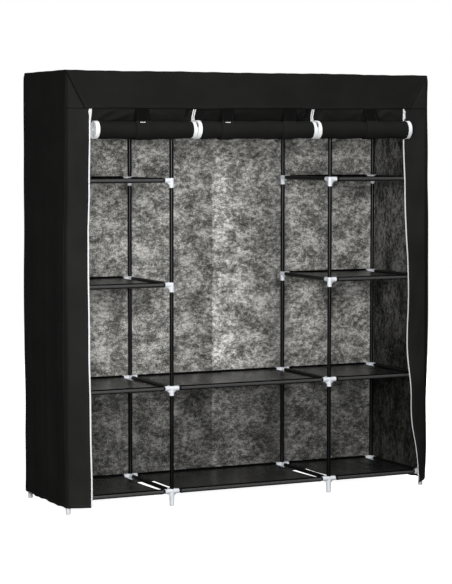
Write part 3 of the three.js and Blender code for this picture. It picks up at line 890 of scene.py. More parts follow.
def sideFolds(grid, up):
    fade = np.sin(np.pi * grid) ** 0.8
    hang = np.cos(np.pi / 2 * up) ** 0.8
    soft = waves(grid + 0.07 * up, [(0.55, 2.0, 0.30), (0.35, 3.4, 0.12), (0.16, 6.5, 0.4)])
    drift = waves(up + 0.15 * grid, [(0.14, 2.1, 0.2), (0.08, 4.6, 0.5)])
    return coverPlan["sideFold"] * fade * (hang * soft + drift + 0.35 * hang)


def backFolds(grid, up):
    fade = np.clip(np.sin(np.pi * grid) * 3, 0, 1)
    hang = np.cos(np.pi / 2 * up) ** 0.9
    soft = waves(grid + 0.05 * up, [(0.5, 4.0, 0.1), (0.35, 6.6, 0.33), (0.18, 11.3, 0.7)])
    x = (0.5 - grid) * 2 * halfWidth
    packed = sum(np.exp(-((x - place) / coverPlan["packedWidth"]) ** 2) for place in coverPlan["packed"])
    return coverPlan["backFold"] * fade * (hang * soft + 0.08 * packed)


# each wall's first and last corner, columns and folds
wallPlan = {
    "cover_left_side": ((-1, "rear"), (-1, "front"), 64, sideFolds),
    "cover_right_side": ((1, "front"), (1, "rear"), 64, lambda grid, up: sideFolds(1 - grid, up)),
    "cover_back": ((1, "rear"), (-1, "rear"), 210, backFolds),
}


def addWalls(plan):
    heights = hemRows()
    for node, (first, second, columns, fold) in plan.items():
        points = wallBetween(first, second, heights, columns, fold)
        slot, lining = "cover_cloth", sideLining
        if node == "cover_back":
            # it rests on the rear tubes' sleeves
            slot, lining = "back_cloth", backLining
            nearest, ease = postY["rear"] + coverPlan["clear"], coverPlan["clearEase"]
            points[..., 1] = nearest + ease * np.logaddexp(0, (points[..., 1] - nearest) / ease)
        thickness = (coverPlan["cloth"] + hemPly(heights - coverHem, coverPlan))[:, None]
        row = hemRow(heights)
        normal = surfaceNormals(points)[row, columns // 2]
        line = points[row] + normal * coverPlan["sewnOut"]
        wall, thread = addSewn(node, clothSheet(points, thickness, 1), [coverCloth, lining], [line], normal)
        flat = (pathLength(points[len(heights) // 2]), pathLength(points[:, columns // 2]) + coverPlan["hem"])


addWalls(wallPlan)
print("cover walls made")


# top panel, lying on the top rails and dipping between them

def dipAt(x, y):
    inner, outer, size = postX["right_inner"], postX["right_outer"], np.abs(x)
    centre = size < inner
    share = np.where(centre, (x + inner) / (2 * inner), (size - inner) / (outer - inner))
    across = (y - postY["front"]) / railDepth
    bay = np.where((share > 0) & (share < 1), np.sin(np.pi * np.clip(share, 0, 1)) ** 2, 0)
    over = np.sin(np.where(centre, 2, 1) * np.pi * np.clip(across, 0, 1)) ** 2
    size, fall = coverPlan["rimDip"]
    rim = size * np.exp(-np.minimum(np.abs(across), np.abs(1 - across)) * fall)
    return coverPlan["topDip"] * bay * (over + rim)


def addTop():
    rim = np.array((0, 0.0008, 0.002, 0.0035, 0.005))
    across = np.concatenate([rim - 1, np.linspace(-0.99, 0.99, 170), 1 - rim[::-1]])
    up = np.concatenate([rim * 3.5 - 1, np.linspace(-0.97, 0.97, 50), 1 - rim[::-1] * 3.5])
    grid, upwards = np.meshgrid(across, up)
    xLeft, xRight, yRear = cornerAt(-1, "front", coverTop)[0], *cornerAt(1, "rear", coverTop)
    x = np.where(grid < 0, -grid * xLeft, grid * xRight)
    yFront = frontAt(x, coverTop)
    y = (yFront + yRear) / 2 + upwards * (yRear - yFront) / 2
    edge = np.minimum(xRight - np.abs(x), np.minimum(y - yFront, yRear - y))
    edge = np.clip(edge, 0, coverPlan["round"]) / coverPlan["round"]
    ripple = (1 + waves(x * 3 + y * 2, [(0.6, 2.3, 0.2), (0.4, 4.9, 0.5)])) * np.sin(np.pi * edge / 2)
    drop = coverPlan["roundDrop"] * (1 - np.sqrt(np.clip(1 - (1 - edge) ** 2, 0, 1)))
    z = coverTop + liftAt(x, "topLift") - dipAt(x, y) - drop + coverPlan["topRipple"] * ripple
    points = np.stack([x, y, z], -1)
    sheet = clothSheet(points, coverPlan["cloth"], 1)
    top = addPiece("cover_top_cloth", [sheet], [coverCloth, sideLining], ["cover_top"], crease=60)
    xRight - xLeft + 0.02
    yRear - float(yFront.mean()) + 0.02
    return points


topPoints = addTop()
print("cover top made")


# header band and the two front flanges

headerPlan = {
    "mitre": 0.077, "hem": 0.009, "hemExtra": 0.0012, "fold": 0.0016, "columns": 200, "inset": 0.0008,
    # rows as shares of the height; the sewn row, and how far its stitches, and the ends', lie out and inwards
    "rows": [0, 0.02, 0.06, 0.075, 0.09, *np.linspace(0.13, 1, 25)], "sewnRow": 3, "sewnOut": 0.0013,
    "endOut": 0.0008, "endIn": 0.003,
}


def headerEdge(x):
    # the front top edge follows the top panel
    return np.interp(x, topPoints[0][:, 0], topPoints[0][:, 2])


def addHeader(plan):
    share = np.linspace(-1, 1, plan["columns"])
    tall = coverTop - headerSeam
    lines = []
    for level in plan["rows"]:
        height = headerSeam + tall * level
        inset = plan["mitre"] * (1 - level) + plan["inset"]
        left, right = (cornerAt(way, "front", height)[0] for way in (-1, 1))
        x = (left + inset) + (right - left - 2 * inset) * (share + 1) / 2
        z = seamAt(x) + (headerEdge(x) - seamAt(x)) * level + seamWave(x) * (1 - level) ** 2
        calm = np.sin(np.pi * level) * np.clip(np.cos(np.pi / 2 * share) * 4, 0, 1)
        push = plan["fold"] * calm * waves(x + 0.25 * level, [(0.6, 1.3, 0.1), (0.45, 2.9, 0.42), (0.2, 7.7, 0.3)])
        ply = np.full(len(x), coverPlan["cloth"] + hemPly(tall * level, plan))
        lines.append(np.stack([x, frontAt(x, height) - push, z, ply], -1))
    grid = np.array(lines)
    points = grid[..., :3]
    out, inwards = plan["endOut"], plan["endIn"]
    seams = [points[plan["sewnRow"]] - (0, plan["sewnOut"], 0), points[1:, 1] + (inwards, -out, 0),
             points[1:, -2] - (inwards, out, 0)]
    band, thread = addSewn("cover_header", clothSheet(points, grid[..., 3], 1), [coverCloth, sideLining],
                           seams, (0, -1, 0))
    width, height = 2 * halfWidth, tall + plan["hem"]
    (width - plan["mitre"]) * height


addHeader(headerPlan)

flangePlan = {
    "width": {-1: 0.0975, 1: 0.1075},
    # slack waves; curl near the floor with its height and rate; valley beside the corner with its place and width
    "slack": 0.0012, "curl": (0.0034, 0.35, 34), "valley": (0.0020, 0.0075, 0.0045), "valleyFade": (1.42, 1.50),
    # a crease across the left flange: height, depth and width
    "crease": (1.168, 0.0030, 0.0035),
    # the last rows under the header's seam, and how far out the three rows of stitches lie
    "seamRows": (-0.009, -0.0045, -0.003, -0.0015, 0.0), "edgeOut": 0.0008, "seamOut": 0.0009, "hemOut": 0.0018,
    # how far each flange swings inwards, in degrees by height
    "swing": {
        -1: [(0.026, 22), (0.20, 21), (0.30, 17), (0.45, 16), (0.54, 19), (0.60, 18), (0.68, 12), (0.79, 6.2),
             (0.90, 4.6), (1.01, 0.7), (1.12, -1.6), (1.34, -2.4), (1.45, 0), (1.7, 0)],
        1: [(0.026, 47), (0.078, 43.6), (0.126, 40.1), (0.173, 37.2), (0.221, 31.3), (0.268, 27.6), (0.316, 26.1),
            (0.363, 27.0), (0.410, 24.5), (0.505, 14.2), (0.552, 10.2), (0.647, 9.4), (0.695, 11.6), (0.790, 13.2),
            (0.885, 11.3), (0.932, 10.0), (0.979, 7.0), (1.027, 4.1), (1.121, 1.6), (1.216, 3.0), (1.263, 1.0),
            (1.310, -2.3), (1.357, -3.6), (1.451, 0), (1.7, 0)],
    },
}


def flangeAt(way, distance, height, out=0.0, plan=flangePlan):
    # a point of a front flange, a distance from its corner seam; out is towards the outer face
    angle = np.radians(smoothTable(plan["swing"][way], height))
    x0, y0 = cornerAt(way, "front", height)
    share = np.clip(distance / plan["width"][way], 0, 1)
    belly = np.sin(np.pi * share)
    curl, tall, rate = plan["curl"]
    valley, place, width = plan["valley"]
    wave = plan["slack"] * belly * waves(height + 0.3 * share, [(1, 1.6, 0.1), (0.6, 3.7, 0.3)])
    wave = wave + curl * belly * (1 - ramp(height, 0, tall)) * np.sin(rate * (height + 0.9 * distance))
    wave = wave - valley * np.exp(-((distance - place) / width) ** 2) * (1 - smooth(height, *plan["valleyFade"]))
    if way < 0:
        middle, deep, width = plan["crease"]
        wave = wave - deep * belly ** 0.5 * np.exp(-((height - middle - 0.06 * distance) / width) ** 2)
    out = out + wave
    x = x0 - way * (distance * np.cos(angle) - out * np.sin(angle))
    y = y0 - distance * np.sin(angle) - out * np.cos(angle)
    return x, y


def addFlange(way, place, plan):
    mitre, width = headerPlan["mitre"], plan["width"][way]
    clothEnd = width - zipPlan["section"][-1][0] + 0.001
    seamHere = float(seamAt(way * (halfWidth - mitre / 2)))
    lower = hemRows()
    lower = np.concatenate([lower[lower < seamHere - 0.012], seamHere + np.array(plan["seamRows"])])
    upper = np.linspace(0, 1, 14)[1:]
    lines = []
    for distance in [*np.linspace(0, mitre, 19), *np.linspace(mitre, clothEnd, 8)[1:]]:
        share = np.clip((mitre - distance) / mitre, 0, 1)
        heights = np.concatenate([lower, seamHere + (coverTop - seamHere) * share * upper])
        x, y = flangeAt(way, np.full(len(heights), distance), heights)
        stretch = (headerEdge(x) - seamHere) / (coverTop - seamHere)
        heights = np.where(heights > seamHere, seamHere + (heights - seamHere) * stretch, heights)
        lines.append(np.stack([x, y, heights], -1))
    points = np.stack(lines[::-way], 1)
    inner = 4 if way > 0 else -5
    node = f"front_flange_{place}"
    sheet = clothSheet(points, coverPlan["cloth"] + hemPly(points[..., 2] - coverHem, coverPlan), 1)
    seams = [points[8:len(lower), inner] - (0, plan["edgeOut"], 0), points[len(lower) - 4] - (0, plan["seamOut"], 0),
             points[hemRow(lower)] - (0, plan["hemOut"], 0)]
    cloth, thread = addSewn(node, sheet, [litFlangeCloth, sideLining], seams, (0, -1, 0))
    height, tall = headerSeam - coverHem, coverTop - coverHem
    width * height + mitre * (tall - height) / 2
    addZip(way, place, plan, seamHere)


zipPlan = {
    "pitch": 0.0026, "tooth": (0.0030, 0.0013, 0.0016), "foot": 0.008, "drop": 0.008,
    "slider": (0.0098, 0.0052, 0.0150), "margins": (0.006, 0.0006), "rows": 150, "inset": 0.0025,
    # the tape's section from under the cloth to its free edge: place, how far out it lies, thickness
    "section": [(-0.006, -0.0010, 0.0008), (-0.003, -0.0010, 0.0008), (0, -0.0010, 0.0009), (0.0008, -0.0004, 0.0013),
                (0.0018, 0, 0.0013), (0.0030, 0, 0.0016), (0.0048, 0, 0.0020)],
    "body": [(-0.32, -0.5), (0.32, -0.5), (0.42, -0.2), (0.5, 0.25), (0.44, 0.46), (0.14, 0.5), (-0.14, 0.5),
             (-0.44, 0.46), (-0.5, 0.25), (-0.42, -0.2)],
    "pull": [(-0.0026, 0), (0.0026, 0), (0.0034, -0.018), (0.0030, -0.0205), (0.0016, -0.022), (-0.0016, -0.022),
             (-0.0030, -0.0205), (-0.0034, -0.018)],
    "plate": 0.0012, "eye": (0.0030, 0.0042), "wire": 0.0006, "bridge": (0.0022, 0.0009, 0.32), "bevel": 0.0003,
    # how far the eye and the pull stand out before the slider and hang below its middle
    "eyeAt": (0.0026, 0.0012), "pullAt": (0.0024, 0.0035),
}


def zipCoil(way, width, top):
    # moulded teeth along the free edge
    long, wide, tall = zipPlan["tooth"]
    ends = [(a, b, c) for a in (-1, 1) for b in (-1, 1) for c in (-1, 1)]
    teeth = []
    for height in np.arange(coverHem + zipPlan["foot"], top - 0.004, zipPlan["pitch"]):
        tip, root = (np.array((*flangeAt(way, width + reach, height), height)) for reach in (0.0004, -0.002))
        along = unit(tip - root)
        flat, up = unit(np.cross(along, (0, 0, 1))), np.array((0, 0, 1))
        teeth += [tip + along * a * long / 2 + flat * b * wide / 2 * (1 - 0.25 * (a > 0)) + up * c * tall / 2
                  for a, b, c in ends]
    quads = np.array([(0, 1, 3, 2), (4, 6, 7, 5), (0, 4, 5, 1), (2, 3, 7, 6), (0, 2, 6, 4), (1, 5, 7, 3)])
    faces = np.concatenate([quads + start for start in range(0, len(teeth), 8)]).tolist()
    return np.array(teeth), faces, [1] * len(faces)


def addZip(way, place, plan, top):
    foot, head = zipPlan["margins"]
    heights = np.linspace(coverHem + foot, top - head, zipPlan["rows"])
    width, section = plan["width"][way], zipPlan["section"]
    tucked, edge = section[0][0], section[-1][0]
    lines = []
    for spot, out, _ in section:
        x, y = flangeAt(way, np.full(len(heights), width - edge + spot), heights, out)
        lines.append(np.stack([x, y, heights], -1))
    points = np.stack(lines[::-way], 1)
    tape = clothSheet(points, [thickness for _, _, thickness in section][::-way])
    node, finishes = f"zip_{place}", [whiteTape, whitePlastic]
    piece = addPiece(f"{node}_tape", [tape, zipCoil(way, width, top)], finishes, [node], crease=30)
    edge - tucked
    addSlider(way, place, plan, top)


def addSlider(way, place, plan, top):
    # parked at the top: a waisted body with a bridge and a flat pull
    width, deep, tall = zipPlan["slider"]
    z = top - zipPlan["drop"] - tall / 2
    x, y = (float(value) for value in flangeAt(way, plan["width"][way] - zipPlan["inset"], z))
    face = y - deep / 2

    def plate(outline, spot, thickness):
        return prism(outline, spot, (1, 0, 0), (0, 0, 1), thickness)

    shape = [(a * width, b * tall) for a, b in zipPlan["body"]]
    plates = [plate(shape, (x, y + offset * deep / 2, z), zipPlan["plate"]) for offset in (-0.8, 0.8)]
    plates.append(plate([(a * 0.3, b * 0.5) for a, b in shape], (x, y, z + tall * 0.1), deep))
    rises, thick, reach = zipPlan["bridge"]
    bridge = [(x, face - rises * math.sin(t), z + tall * reach * math.cos(t)) for t in np.linspace(0, math.pi, 12)]
    plates.append(cord(bridge, thick))
    (wide, high), (out, below) = zipPlan["eye"], zipPlan["eyeAt"]
    eye = [(x + wide * math.sin(t), face - out, z - below + high * math.cos(t))
           for t in np.linspace(0, 2 * math.pi, 17)[:-1]]
    plates.append(cord(eye + eye[:2], zipPlan["wire"]))
    out, below = zipPlan["pullAt"]
    plates.append(plate(zipPlan["pull"], (x, face - out, z - below), zipPlan["plate"]))
    body = addPiece(f"zip_{place}_slider", plates, [whitePlastic], [f"zip_{place}"], crease=25)
    soften = body.modifiers.new("soften", "BEVEL")
    soften.width, soften.segments, soften.limit_method = zipPlan["bevel"], 2, "ANGLE"


addFlange(-1, "left", flangePlan)
addFlange(1, "right", flangePlan)


def addWelts():
    # the turned seams where the panels meet
    heights = np.linspace(coverHem + 0.001, coverTop - 0.001, 120)
    mitre = headerPlan["mitre"]
    welts, seams = [], []
    for way in (-1, 1):
        for row in postRows:
            welts.append(cord(np.stack([*cornerAt(way, row, heights), heights], -1), coverPlan["seam"]))
        share = np.linspace(0, 1, 30)
        x = cornerAt(way, "front", headerSeam + (coverTop - headerSeam) * share)[0] - way * mitre * (1 - share)
        z = seamAt(x) + (headerEdge(x) - seamAt(x)) * share
        seams.append(cord(np.stack([x, frontAt(x, z) - 0.0006, z], -1), coverPlan["mitreSeam"][way]))
    for edge in (topPoints[0], topPoints[-1], topPoints[:, 0], topPoints[:, -1]):
        welts.append(cord(edge, coverPlan["seam"] * 1.05))
    for way in (-1, 1):
        x, y = flangeAt(way, np.linspace(0.001, mitre, 12), np.full(12, headerSeam))
        seams.append(cord(np.stack([x, y - 0.0007, seamAt(x)], -1), coverPlan["headerSeam"]))
    x = np.linspace(-halfWidth + mitre, halfWidth - mitre, 160)
    line = np.stack([x, frontAt(x, headerSeam) - 0.0006, seamAt(x) + seamWave(x) - 0.0004], -1)
    seams.append(cord(line, coverPlan["headerSeam"]))
    addPiece("cover_seam_welts", welts, [coverCloth], ["cover_top", "cover_header"])
    # the header's seams take the painted-shade cloth
    addPiece("header_seams", seams, [seamShadeCloth], ["cover_header"])


addWelts()
print("header, flanges and zips made")


# roll-up doors

doorPlan = {
    "cloth": 0.0010, "radius": 0.035, "core": 0.006, "steps": 32, "outerTurns": 1.25, "high": 0.0007, "keep": 0.1,
    # the rolls sit higher towards the right; slip is the shift in X at the roll, seamSlip the one at the header
    "reach": 0.67, "lift": (0.0022, 0.0072),
    "slip": [(-0.67, -0.0015), (-0.2525, -0.0112), (0.2525, -0.0100), (0.67, -0.0085)],
    "seamSlip": [(-0.67, -0.0030), (-0.2525, 0.0085), (0.2525, 0.0060), (0.67, -0.0070)],
    # the zip tapes: width in the roll and over the curtain, how far they stand over a free or a joined edge
    "tape": 0.0150, "strip": 0.0042, "tapeThickness": 0.0024, "stripThickness": 0.0021,
    "overhang": 0.005, "joined": 0.0014,
    # joined tapes part where the roll faces up and forwards: size, place and width in turns
    "parting": (0.0021, 0.62, 0.095),
    "pinch": (0.0018, 0.030), "ridge": 0.0017, "recess": 0.0022, "gather": (0.0026, 0.034, 0.008), "foldReach": 0.062,
    # a curtain's ends, above the roll's middle and under the header's seam, and where its folds fade out
    "footRise": 0.0003, "topDrop": 0.0004, "calmEdge": 0.02, "calmTop": 0.010, "calmFoot": (0.080, 0.012),
    # how deep a curtain's joined edge tucks behind the next roll, where that starts, and its share of the height
    "tuck": 0.0044, "tuckSides": (0.040, 0.020), "tuckHeights": (0.38, 0.62, 0.968, 0.998),
}
# middle, height, slant in degrees, width and size of each fold in the curtains
foldPlan = {
    "left": [(-0.560, 1.455, 20, 0.012, 0.00630), (-0.610, 1.470, 32, 0.010, 0.00450),
             (-0.400, 1.468, -14, 0.014, 0.00360), (-0.320, 1.462, -35, 0.010, 0.00390)],
    "centre": [(-0.205, 1.462, -40, 0.011, 0.00510), (-0.085, 1.470, 12, 0.016, 0.00330),
               (0.020, 1.462, -8, 0.018, 0.00390), (0.170, 1.460, 42, 0.010, 0.00540),
               (0.222, 1.470, 25, 0.010, 0.00450)],
    "right": [(0.330, 1.462, -30, 0.012, 0.00450), (0.440, 1.470, 14, 0.016, 0.00360),
              (0.560, 1.462, 30, 0.012, 0.00450), (0.630, 1.468, -20, 0.010, 0.00390)],
}


def rollLift(x):
    (low, high), reach = doorPlan["lift"], doorPlan["reach"]
    return low + (high - low) * (np.asarray(x, float) + reach) / (2 * reach)


def slipAt(x, share=0.0):
    # rolling up drew the doors a little to the left; share is 1 at the header and 0 at the roll
    (places, rolled), (_, hung) = (np.array(doorPlan[key]).T for key in ("slip", "seamSlip"))
    return np.interp(x, places, rolled) * (1 - share) + np.interp(x, places, hung) * share


class Door:
    # where one door's roll stands, and how its cloth is wound
    def __init__(self, place, overLeft, overRight):
        low, high = corners(f"door_roll_{place}")
        self.place, self.body, self.low, self.high = place, f"{place}_door", low[0], high[0]
        self.overLeft, self.overRight = overLeft, overRight
        self.y = high[1] - doorPlan["radius"]
        self.z = (low[2] + high[2]) / 2 + doorPlan["high"]
        self.face = self.y + doorPlan["radius"]
        self.drop = self.z - coverHem
        self.pitch = math.pi * (doorPlan["radius"] ** 2 - doorPlan["core"] ** 2) / self.drop
        self.turns = (doorPlan["radius"] - doorPlan["core"]) / self.pitch
        self.width = self.high - self.low

    def squash(self, pieces, anchor, keep):
        for piece in pieces:
            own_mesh(piece)


def addRoll(door, ties, plan, seed):
    phase = np.random.default_rng(seed).uniform(0, 1, 6)
    pinch, pinchWidth = plan["pinch"]
    parting, partPlace, partWidth = plan["parting"]

    def squeeze(x, turn, loose):
        # ties press the roll in a little, and its cloth lies unevenly
        press = sum(np.exp(-(((x - tie) / pinchWidth) ** 4)) for tie in ties)
        lump = waves(x, [(0.0012, 3.1, phase[0]), (0.0009, 7.3, phase[1])]) + waves(turn, [(0.0005, 2.0, phase[2])])
        lump = lump + waves(x + 0.07 * turn, [(0.0008, 11.0, phase[5])])
        ridge = plan["ridge"] * np.sin(2 * np.pi * (turn * 2 + x * 3.1 + phase[3])) * loose
        return lump + ridge - pinch * press

    def wrap(start, end, steps, x, drawn=0):
        # the cloth's middle, wound from one turn to another
        x, turn = np.meshgrid(x, np.linspace(start, end, max(3, int((end - start) * steps))))
        if drawn:
            weight = (x - x[0, 0]) / (x[0, -1] - x[0, 0])
            parted = parting * np.exp(-(((turn % 1) - partPlace) / partWidth) ** 2)
            x = x + drawn * parted * (weight if drawn < 0 else 1 - weight)
        push = squeeze(x, turn, 1 - ramp(turn, 0, 1.5)) * (1 - 0.65 * ramp(turn, 0, door.turns))
        radius = plan["radius"] - plan["cloth"] / 2 - door.pitch * turn + push
        angle = -2 * np.pi * turn
        y, z = door.y + radius * np.cos(angle), door.z + radius * np.sin(angle)
        return np.stack([x + slipAt(x), y, z + rollLift(x)], -1)

    outer, fine, wide = plan["outerTurns"], plan["steps"] * 1.5, plan["tape"]
    layers = [wrap(0, outer, fine, np.linspace(door.low, door.high, 90)),
              wrap(outer, door.turns, plan["steps"], np.linspace(door.low, door.high, 16))]
    sheets = [clothSheet(layer, plan["cloth"]) for layer in layers]
    node = f"door_roll_{door.place}"
    cloth = addPiece(f"{node}_cloth", sheets, [coverCloth], [node], door.body, crease=60)
    # the left tape draws to the right where it is joined, and the right one to the left
    edges = [(door.low - door.overLeft, 0, int(door.overLeft == plan["joined"])),
             (door.high + door.overRight, -wide, -int(door.overRight == plan["joined"]))]
    tapes = []
    for edge, shift, drawn in edges:
        layer = wrap(0.02, door.turns, fine, np.linspace(edge + shift, edge + shift + wide, 4), drawn)
        tapes.append(clothSheet(layer, plan["tapeThickness"]))
    tape = addPiece(f"{node}_tapes", tapes, [whiteTape], [node], door.body, crease=50)
    door.squash((cloth, tape), door.face, plan["keep"])


def curtainPush(place, x, z, ties, plan):
    # slanting folds of slack cloth between the header and the roll, gathered beside each tie
    push = 0.0
    for cx, cz, slant, width, size in foldPlan[place]:
        angle = math.radians(slant)
        across = (z - cz) * math.cos(angle) - (x - cx) * math.sin(angle)
        along = (x - cx) * math.cos(angle) + (z - cz) * math.sin(angle)
        push = push + size * np.exp(-(across / width) ** 2 - (along / plan["foldReach"]) ** 2)
    size, away, width = plan["gather"]
    for tie in ties:
        push = push + size * sum(np.exp(-((x - tie - side * away) / width) ** 2) for side in (-1, 1))
    deep, tall = plan["calmFoot"]
    foot = headerSeam - deep
    return push * (1 - ramp(z, headerSeam - plan["calmTop"], headerSeam)) * ramp(z, foot, foot + tall)


def addCurtain(door, ties, plan):
    foot, top = door.z + plan["footRise"], headerSeam - plan["topDrop"]
    share = np.concatenate([np.linspace(0, 0.93, 44), np.linspace(0.935, 1, 18)])
    outside, inside = plan["tuckSides"]
    grow, full, loosen, free = plan["tuckHeights"]

    def sheet(start, end, columns, thickness, forward=0.0):
        x, up = np.meshgrid(np.linspace(start, end, columns), share)
        height = (foot + rollLift(x)) * (1 - up) + (seamAt(x) - plan["topDrop"]) * up
        edge = np.clip(np.minimum(x - door.low, door.high - x) / plan["calmEdge"], 0, 1)
        push = curtainPush(door.place, x, foot + (top - foot) * up, ties, plan) * edge
        back = smooth(up, 0.2, 1)
        plane = frontY - pushAt(headerSeam, x) + plan["recess"]
        y = (1 - back) * (door.face - plan["cloth"] / 2) + back * plane - push - forward
        # joined edges pass behind the next door's roll
        held = (door.place != "right") * smooth(x, door.high - outside, door.high - inside)
        held = held + (door.place != "left") * (1 - smooth(x, door.low + inside, door.low + outside))
        held = held * smooth(up, grow, full) * (1 - smooth(up, loosen, free))
        y = y + held * (door.face + plan["tuck"] - forward - y)
        return clothSheet(np.stack([x + slipAt(x, up), y, height], -1), thickness)

    node = f"door_curtain_{door.place}"
    # the centre curtain takes the painted-shade cloth
    finish = shadedCloth if door.place == "centre" else coverCloth
    cloth = addPiece(f"{node}_cloth", [sheet(door.low, door.high, int(door.width / 0.0042), plan["cloth"])], [finish],
                     [node], None, crease=60)
    start, end, strip = door.low - door.overLeft, door.high + door.overRight, plan["strip"]
    strips = [sheet(*ends, 4, plan["stripThickness"], 0.0004) for ends in ((start, start + strip), (end - strip, end))]
    tape = addPiece(f"{node}_tapes", strips, [whiteTape], [node], None, crease=50)
    for piece in (cloth, tape):
        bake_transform(piece)


tiePlan = {
    "width": 0.052, "thickness": 0.0014, "edge": 0.0006, "ease": 0.0009, "end": 318, "keep": 0.08, "inset": 0.0045,
    "flare": 0.10, "curl": 0.0006, "tack": (0.021, 0.0026, 0.0008), "seams": (2, 12), "sewnOut": 0.0010,
    "selvedge": 0.08,
}
# each tie's middle at the header and on the roll, and whether it has a white tack
tiePlaces = {
    "left": [(-0.4675, -0.4853, True)],
    "centre": [(-0.1205, -0.1386, True), (0.1466, 0.1195, False)],
    "right": [(0.500, 0.483, False)],
}


def addTies(door, ties, plan):
    # a strap from the header seam over the front of the roll and back under it
    wrap = doorPlan["radius"] + plan["ease"] + plan["thickness"] / 2
    straps, threads, tacks = [], [], []
    for high, low, tacked in ties:
        z = door.z + float(rollLift(low))
        start = (frontY - float(pushAt(headerSeam, high)) + plan["inset"] - door.y, float(seamAt(high)) + 0.004 - z)
        first = math.atan2(start[1], start[0]) + math.acos(wrap / math.hypot(*start))
        touch = (wrap * math.cos(first), wrap * math.sin(first))
        path = [(start[0] + (touch[0] - start[0]) * s, start[1] + (touch[1] - start[1]) * s)
                for s in (0, 0.12, 0.3, 0.5, 0.7, 0.86, 0.95)]
        straight = len(path)
        path += [(wrap * math.cos(a), wrap * math.sin(a)) for a in np.linspace(first, math.radians(plan["end"]), 30)]
        across = np.linspace(-0.5, 0.5, 15)
        lines = []
        for k, (dy, dz) in enumerate(path):
            down = min(1.0, k / straight)
            curl = plan["curl"] * np.cos(2 * np.pi * across) * down
            out = unit((dy, dz)) if k >= straight else np.array((-0.9, 0.4))
            x = high + (low - high) * smooth(down, 0, 1) + across * plan["width"] * (1 + plan["flare"] * (1 - down))
            lines.append(np.stack([x, door.y + dy + curl * out[0], z + dz + curl * out[1]], -1)[::-1])
        grid = np.array(lines)
        selvedge = 0.5 - np.abs(across) < plan["selvedge"]
        points, faces, _ = clothSheet(grid, plan["thickness"] + plan["edge"] * selvedge)
        # faces above the roll take the painted-shade webbing; on the roll the tie keeps the plain cover cloth
        free = [int(points[list(face), 2].mean() > z + doorPlan["radius"] - 0.001) for face in faces]
        straps.append((points, faces, free))
        normals = surfaceNormals(grid)
        for column in plan["seams"]:
            line = grid[2:, column] + normals[2:, column] * plan["sewnOut"]
            threads += [stitches(line[:17], (0, -1, 0.2)), stitches(line[16:], (0, -1, -0.4))]
        if tacked:
            wide, tall, deep = plan["tack"]
            at = straight - 1
            spot = grid[at, 7] + normals[at, 7] * (plan["thickness"] / 2 + deep / 2)
            outline = [(-wide / 2, -tall / 2), (wide / 2, -tall / 2), (wide / 2, tall / 2), (-wide / 2, tall / 2)]
            tacks.append(prism(outline, spot, (1, 0, 0), unit(grid[at - 1, 7] - grid[at + 1, 7]), deep))
    name, node = f"door_{door.place}", f"door_curtain_{door.place}"
    strap = addPiece(f"{name}_ties", straps, [coverCloth, tieShadeWebbing], [node], crease=50)
    pieces = [addPiece(f"{name}_tie_stitching", threads, [blackThread], [node])]
    if tacks:
        pieces.append(addPiece(f"{name}_tie_tack", tacks, [whiteThread], [node], crease=30))
    door.squash((strap, *pieces), frontY - float(pushAt(headerSeam, ties[0][0])), plan["keep"])
    pathLength(path)


free, joined = doorPlan["overhang"], doorPlan["joined"]
doors = [Door("left", free, joined), Door("centre", joined, joined), Door("right", joined, free)]
for number, door in enumerate(doors):
    places = tiePlaces[door.place]
    addRoll(door, [low for _, low, _ in places], doorPlan, 40 + number)
    addTies(door, places, tiePlan)
    addCurtain(door, [high for high, _, _ in places], doorPlan)
print("doors made")


# pale floor and soft studio light

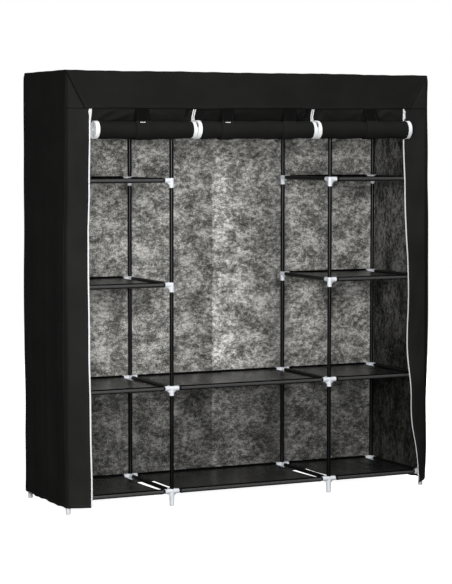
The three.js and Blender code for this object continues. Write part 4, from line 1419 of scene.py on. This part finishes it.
studioPlan = {
    "floor": {"pale": (0.86, 0.86, 0.86), "shade": (0.8471, 0.8471, 0.8471), "glow": 0.95, "size": 40, "drop": 0.0004},
    "surround": 0.07,
    "lamps": {
        "key": {"place": (-1.9, -3.9, 1.42), "aim": (0.0, 0.0, 0.95), "size": (1.7, 1.7), "power": 190},
        "side": {"place": (-5.0, 1.2, 1.9), "aim": (-0.7, 0.0, 0.9), "size": (1.6, 2.2), "power": 30},
        "top": {"place": (0.4, -1.6, 4.2), "aim": (0.0, 0.0, 0.9), "size": (2.4, 1.6), "power": 60},
        "rear": {"place": (3.1, 3.6, 2.1), "aim": (0.3, 0.1, 0.8), "size": (2.2, 2.4), "power": 150},
    },
}


def addFloor(plan):
    finish = Finish("paleFloor", Roughness=0.9, **{"Specular IOR Level": 0.1, "Emission Strength": plan["glow"],
                                                   "Emission Color": (1, 1, 1, 1)})
    finish.colour(finish.blend(finish.noise(3, 2), plan["pale"], plan["shade"]))
    size = plan["size"]
    corner = [(x * size, y * size, -plan["drop"]) for x, y in ((-1, -1), (1, -1), (1, 1), (-1, 1))]
    mesh = bpy.data.meshes.new("floor")
    mesh.from_pydata(corner, [], [(0, 1, 2, 3)])
    mesh.materials.append(finish.material)
    floor = bpy.data.objects.new("floor", mesh)
    scene.collection.objects.link(floor)
    floor.visible_diffuse = floor.visible_glossy = floor.visible_shadow = False  # no glare from below


def addSoftbox(name, plan):
    lamp = bpy.data.lights.new(name, "AREA")
    lamp.shape, lamp.size, lamp.size_y, lamp.energy = "RECTANGLE", *plan["size"], plan["power"]
    box = bpy.data.objects.new(name, lamp)
    box.location = plan["place"]
    aim = Vector(plan["aim"]) - Vector(plan["place"])
    box.rotation_euler = aim.to_track_quat("-Z", "Y").to_euler()
    box.visible_camera = False
    scene.collection.objects.link(box)


def addSurround(strength):
    # white behind the object and a weak light from all round
    world = bpy.data.worlds.new("studio")
    world.use_nodes = True
    nodes, links = world.node_tree.nodes, world.node_tree.links
    nodes.clear()
    out, mix = nodes.new("ShaderNodeOutputWorld"), nodes.new("ShaderNodeMixShader")
    links.new(nodes.new("ShaderNodeLightPath").outputs["Is Camera Ray"], mix.inputs[0])
    for socket, power in ((1, strength), (2, 1.0)):
        shade = nodes.new("ShaderNodeBackground")
        shade.inputs[0].default_value, shade.inputs[1].default_value = (1, 1, 1, 1), power
        links.new(shade.outputs[0], mix.inputs[socket])
    links.new(mix.outputs[0], out.inputs[0])
    scene.world = world


addFloor(studioPlan["floor"])
for name, lamp in studioPlan["lamps"].items():
    addSoftbox(name, lamp)
addSurround(studioPlan["surround"])
scene.view_settings.view_transform = "Standard"
print("studio made")
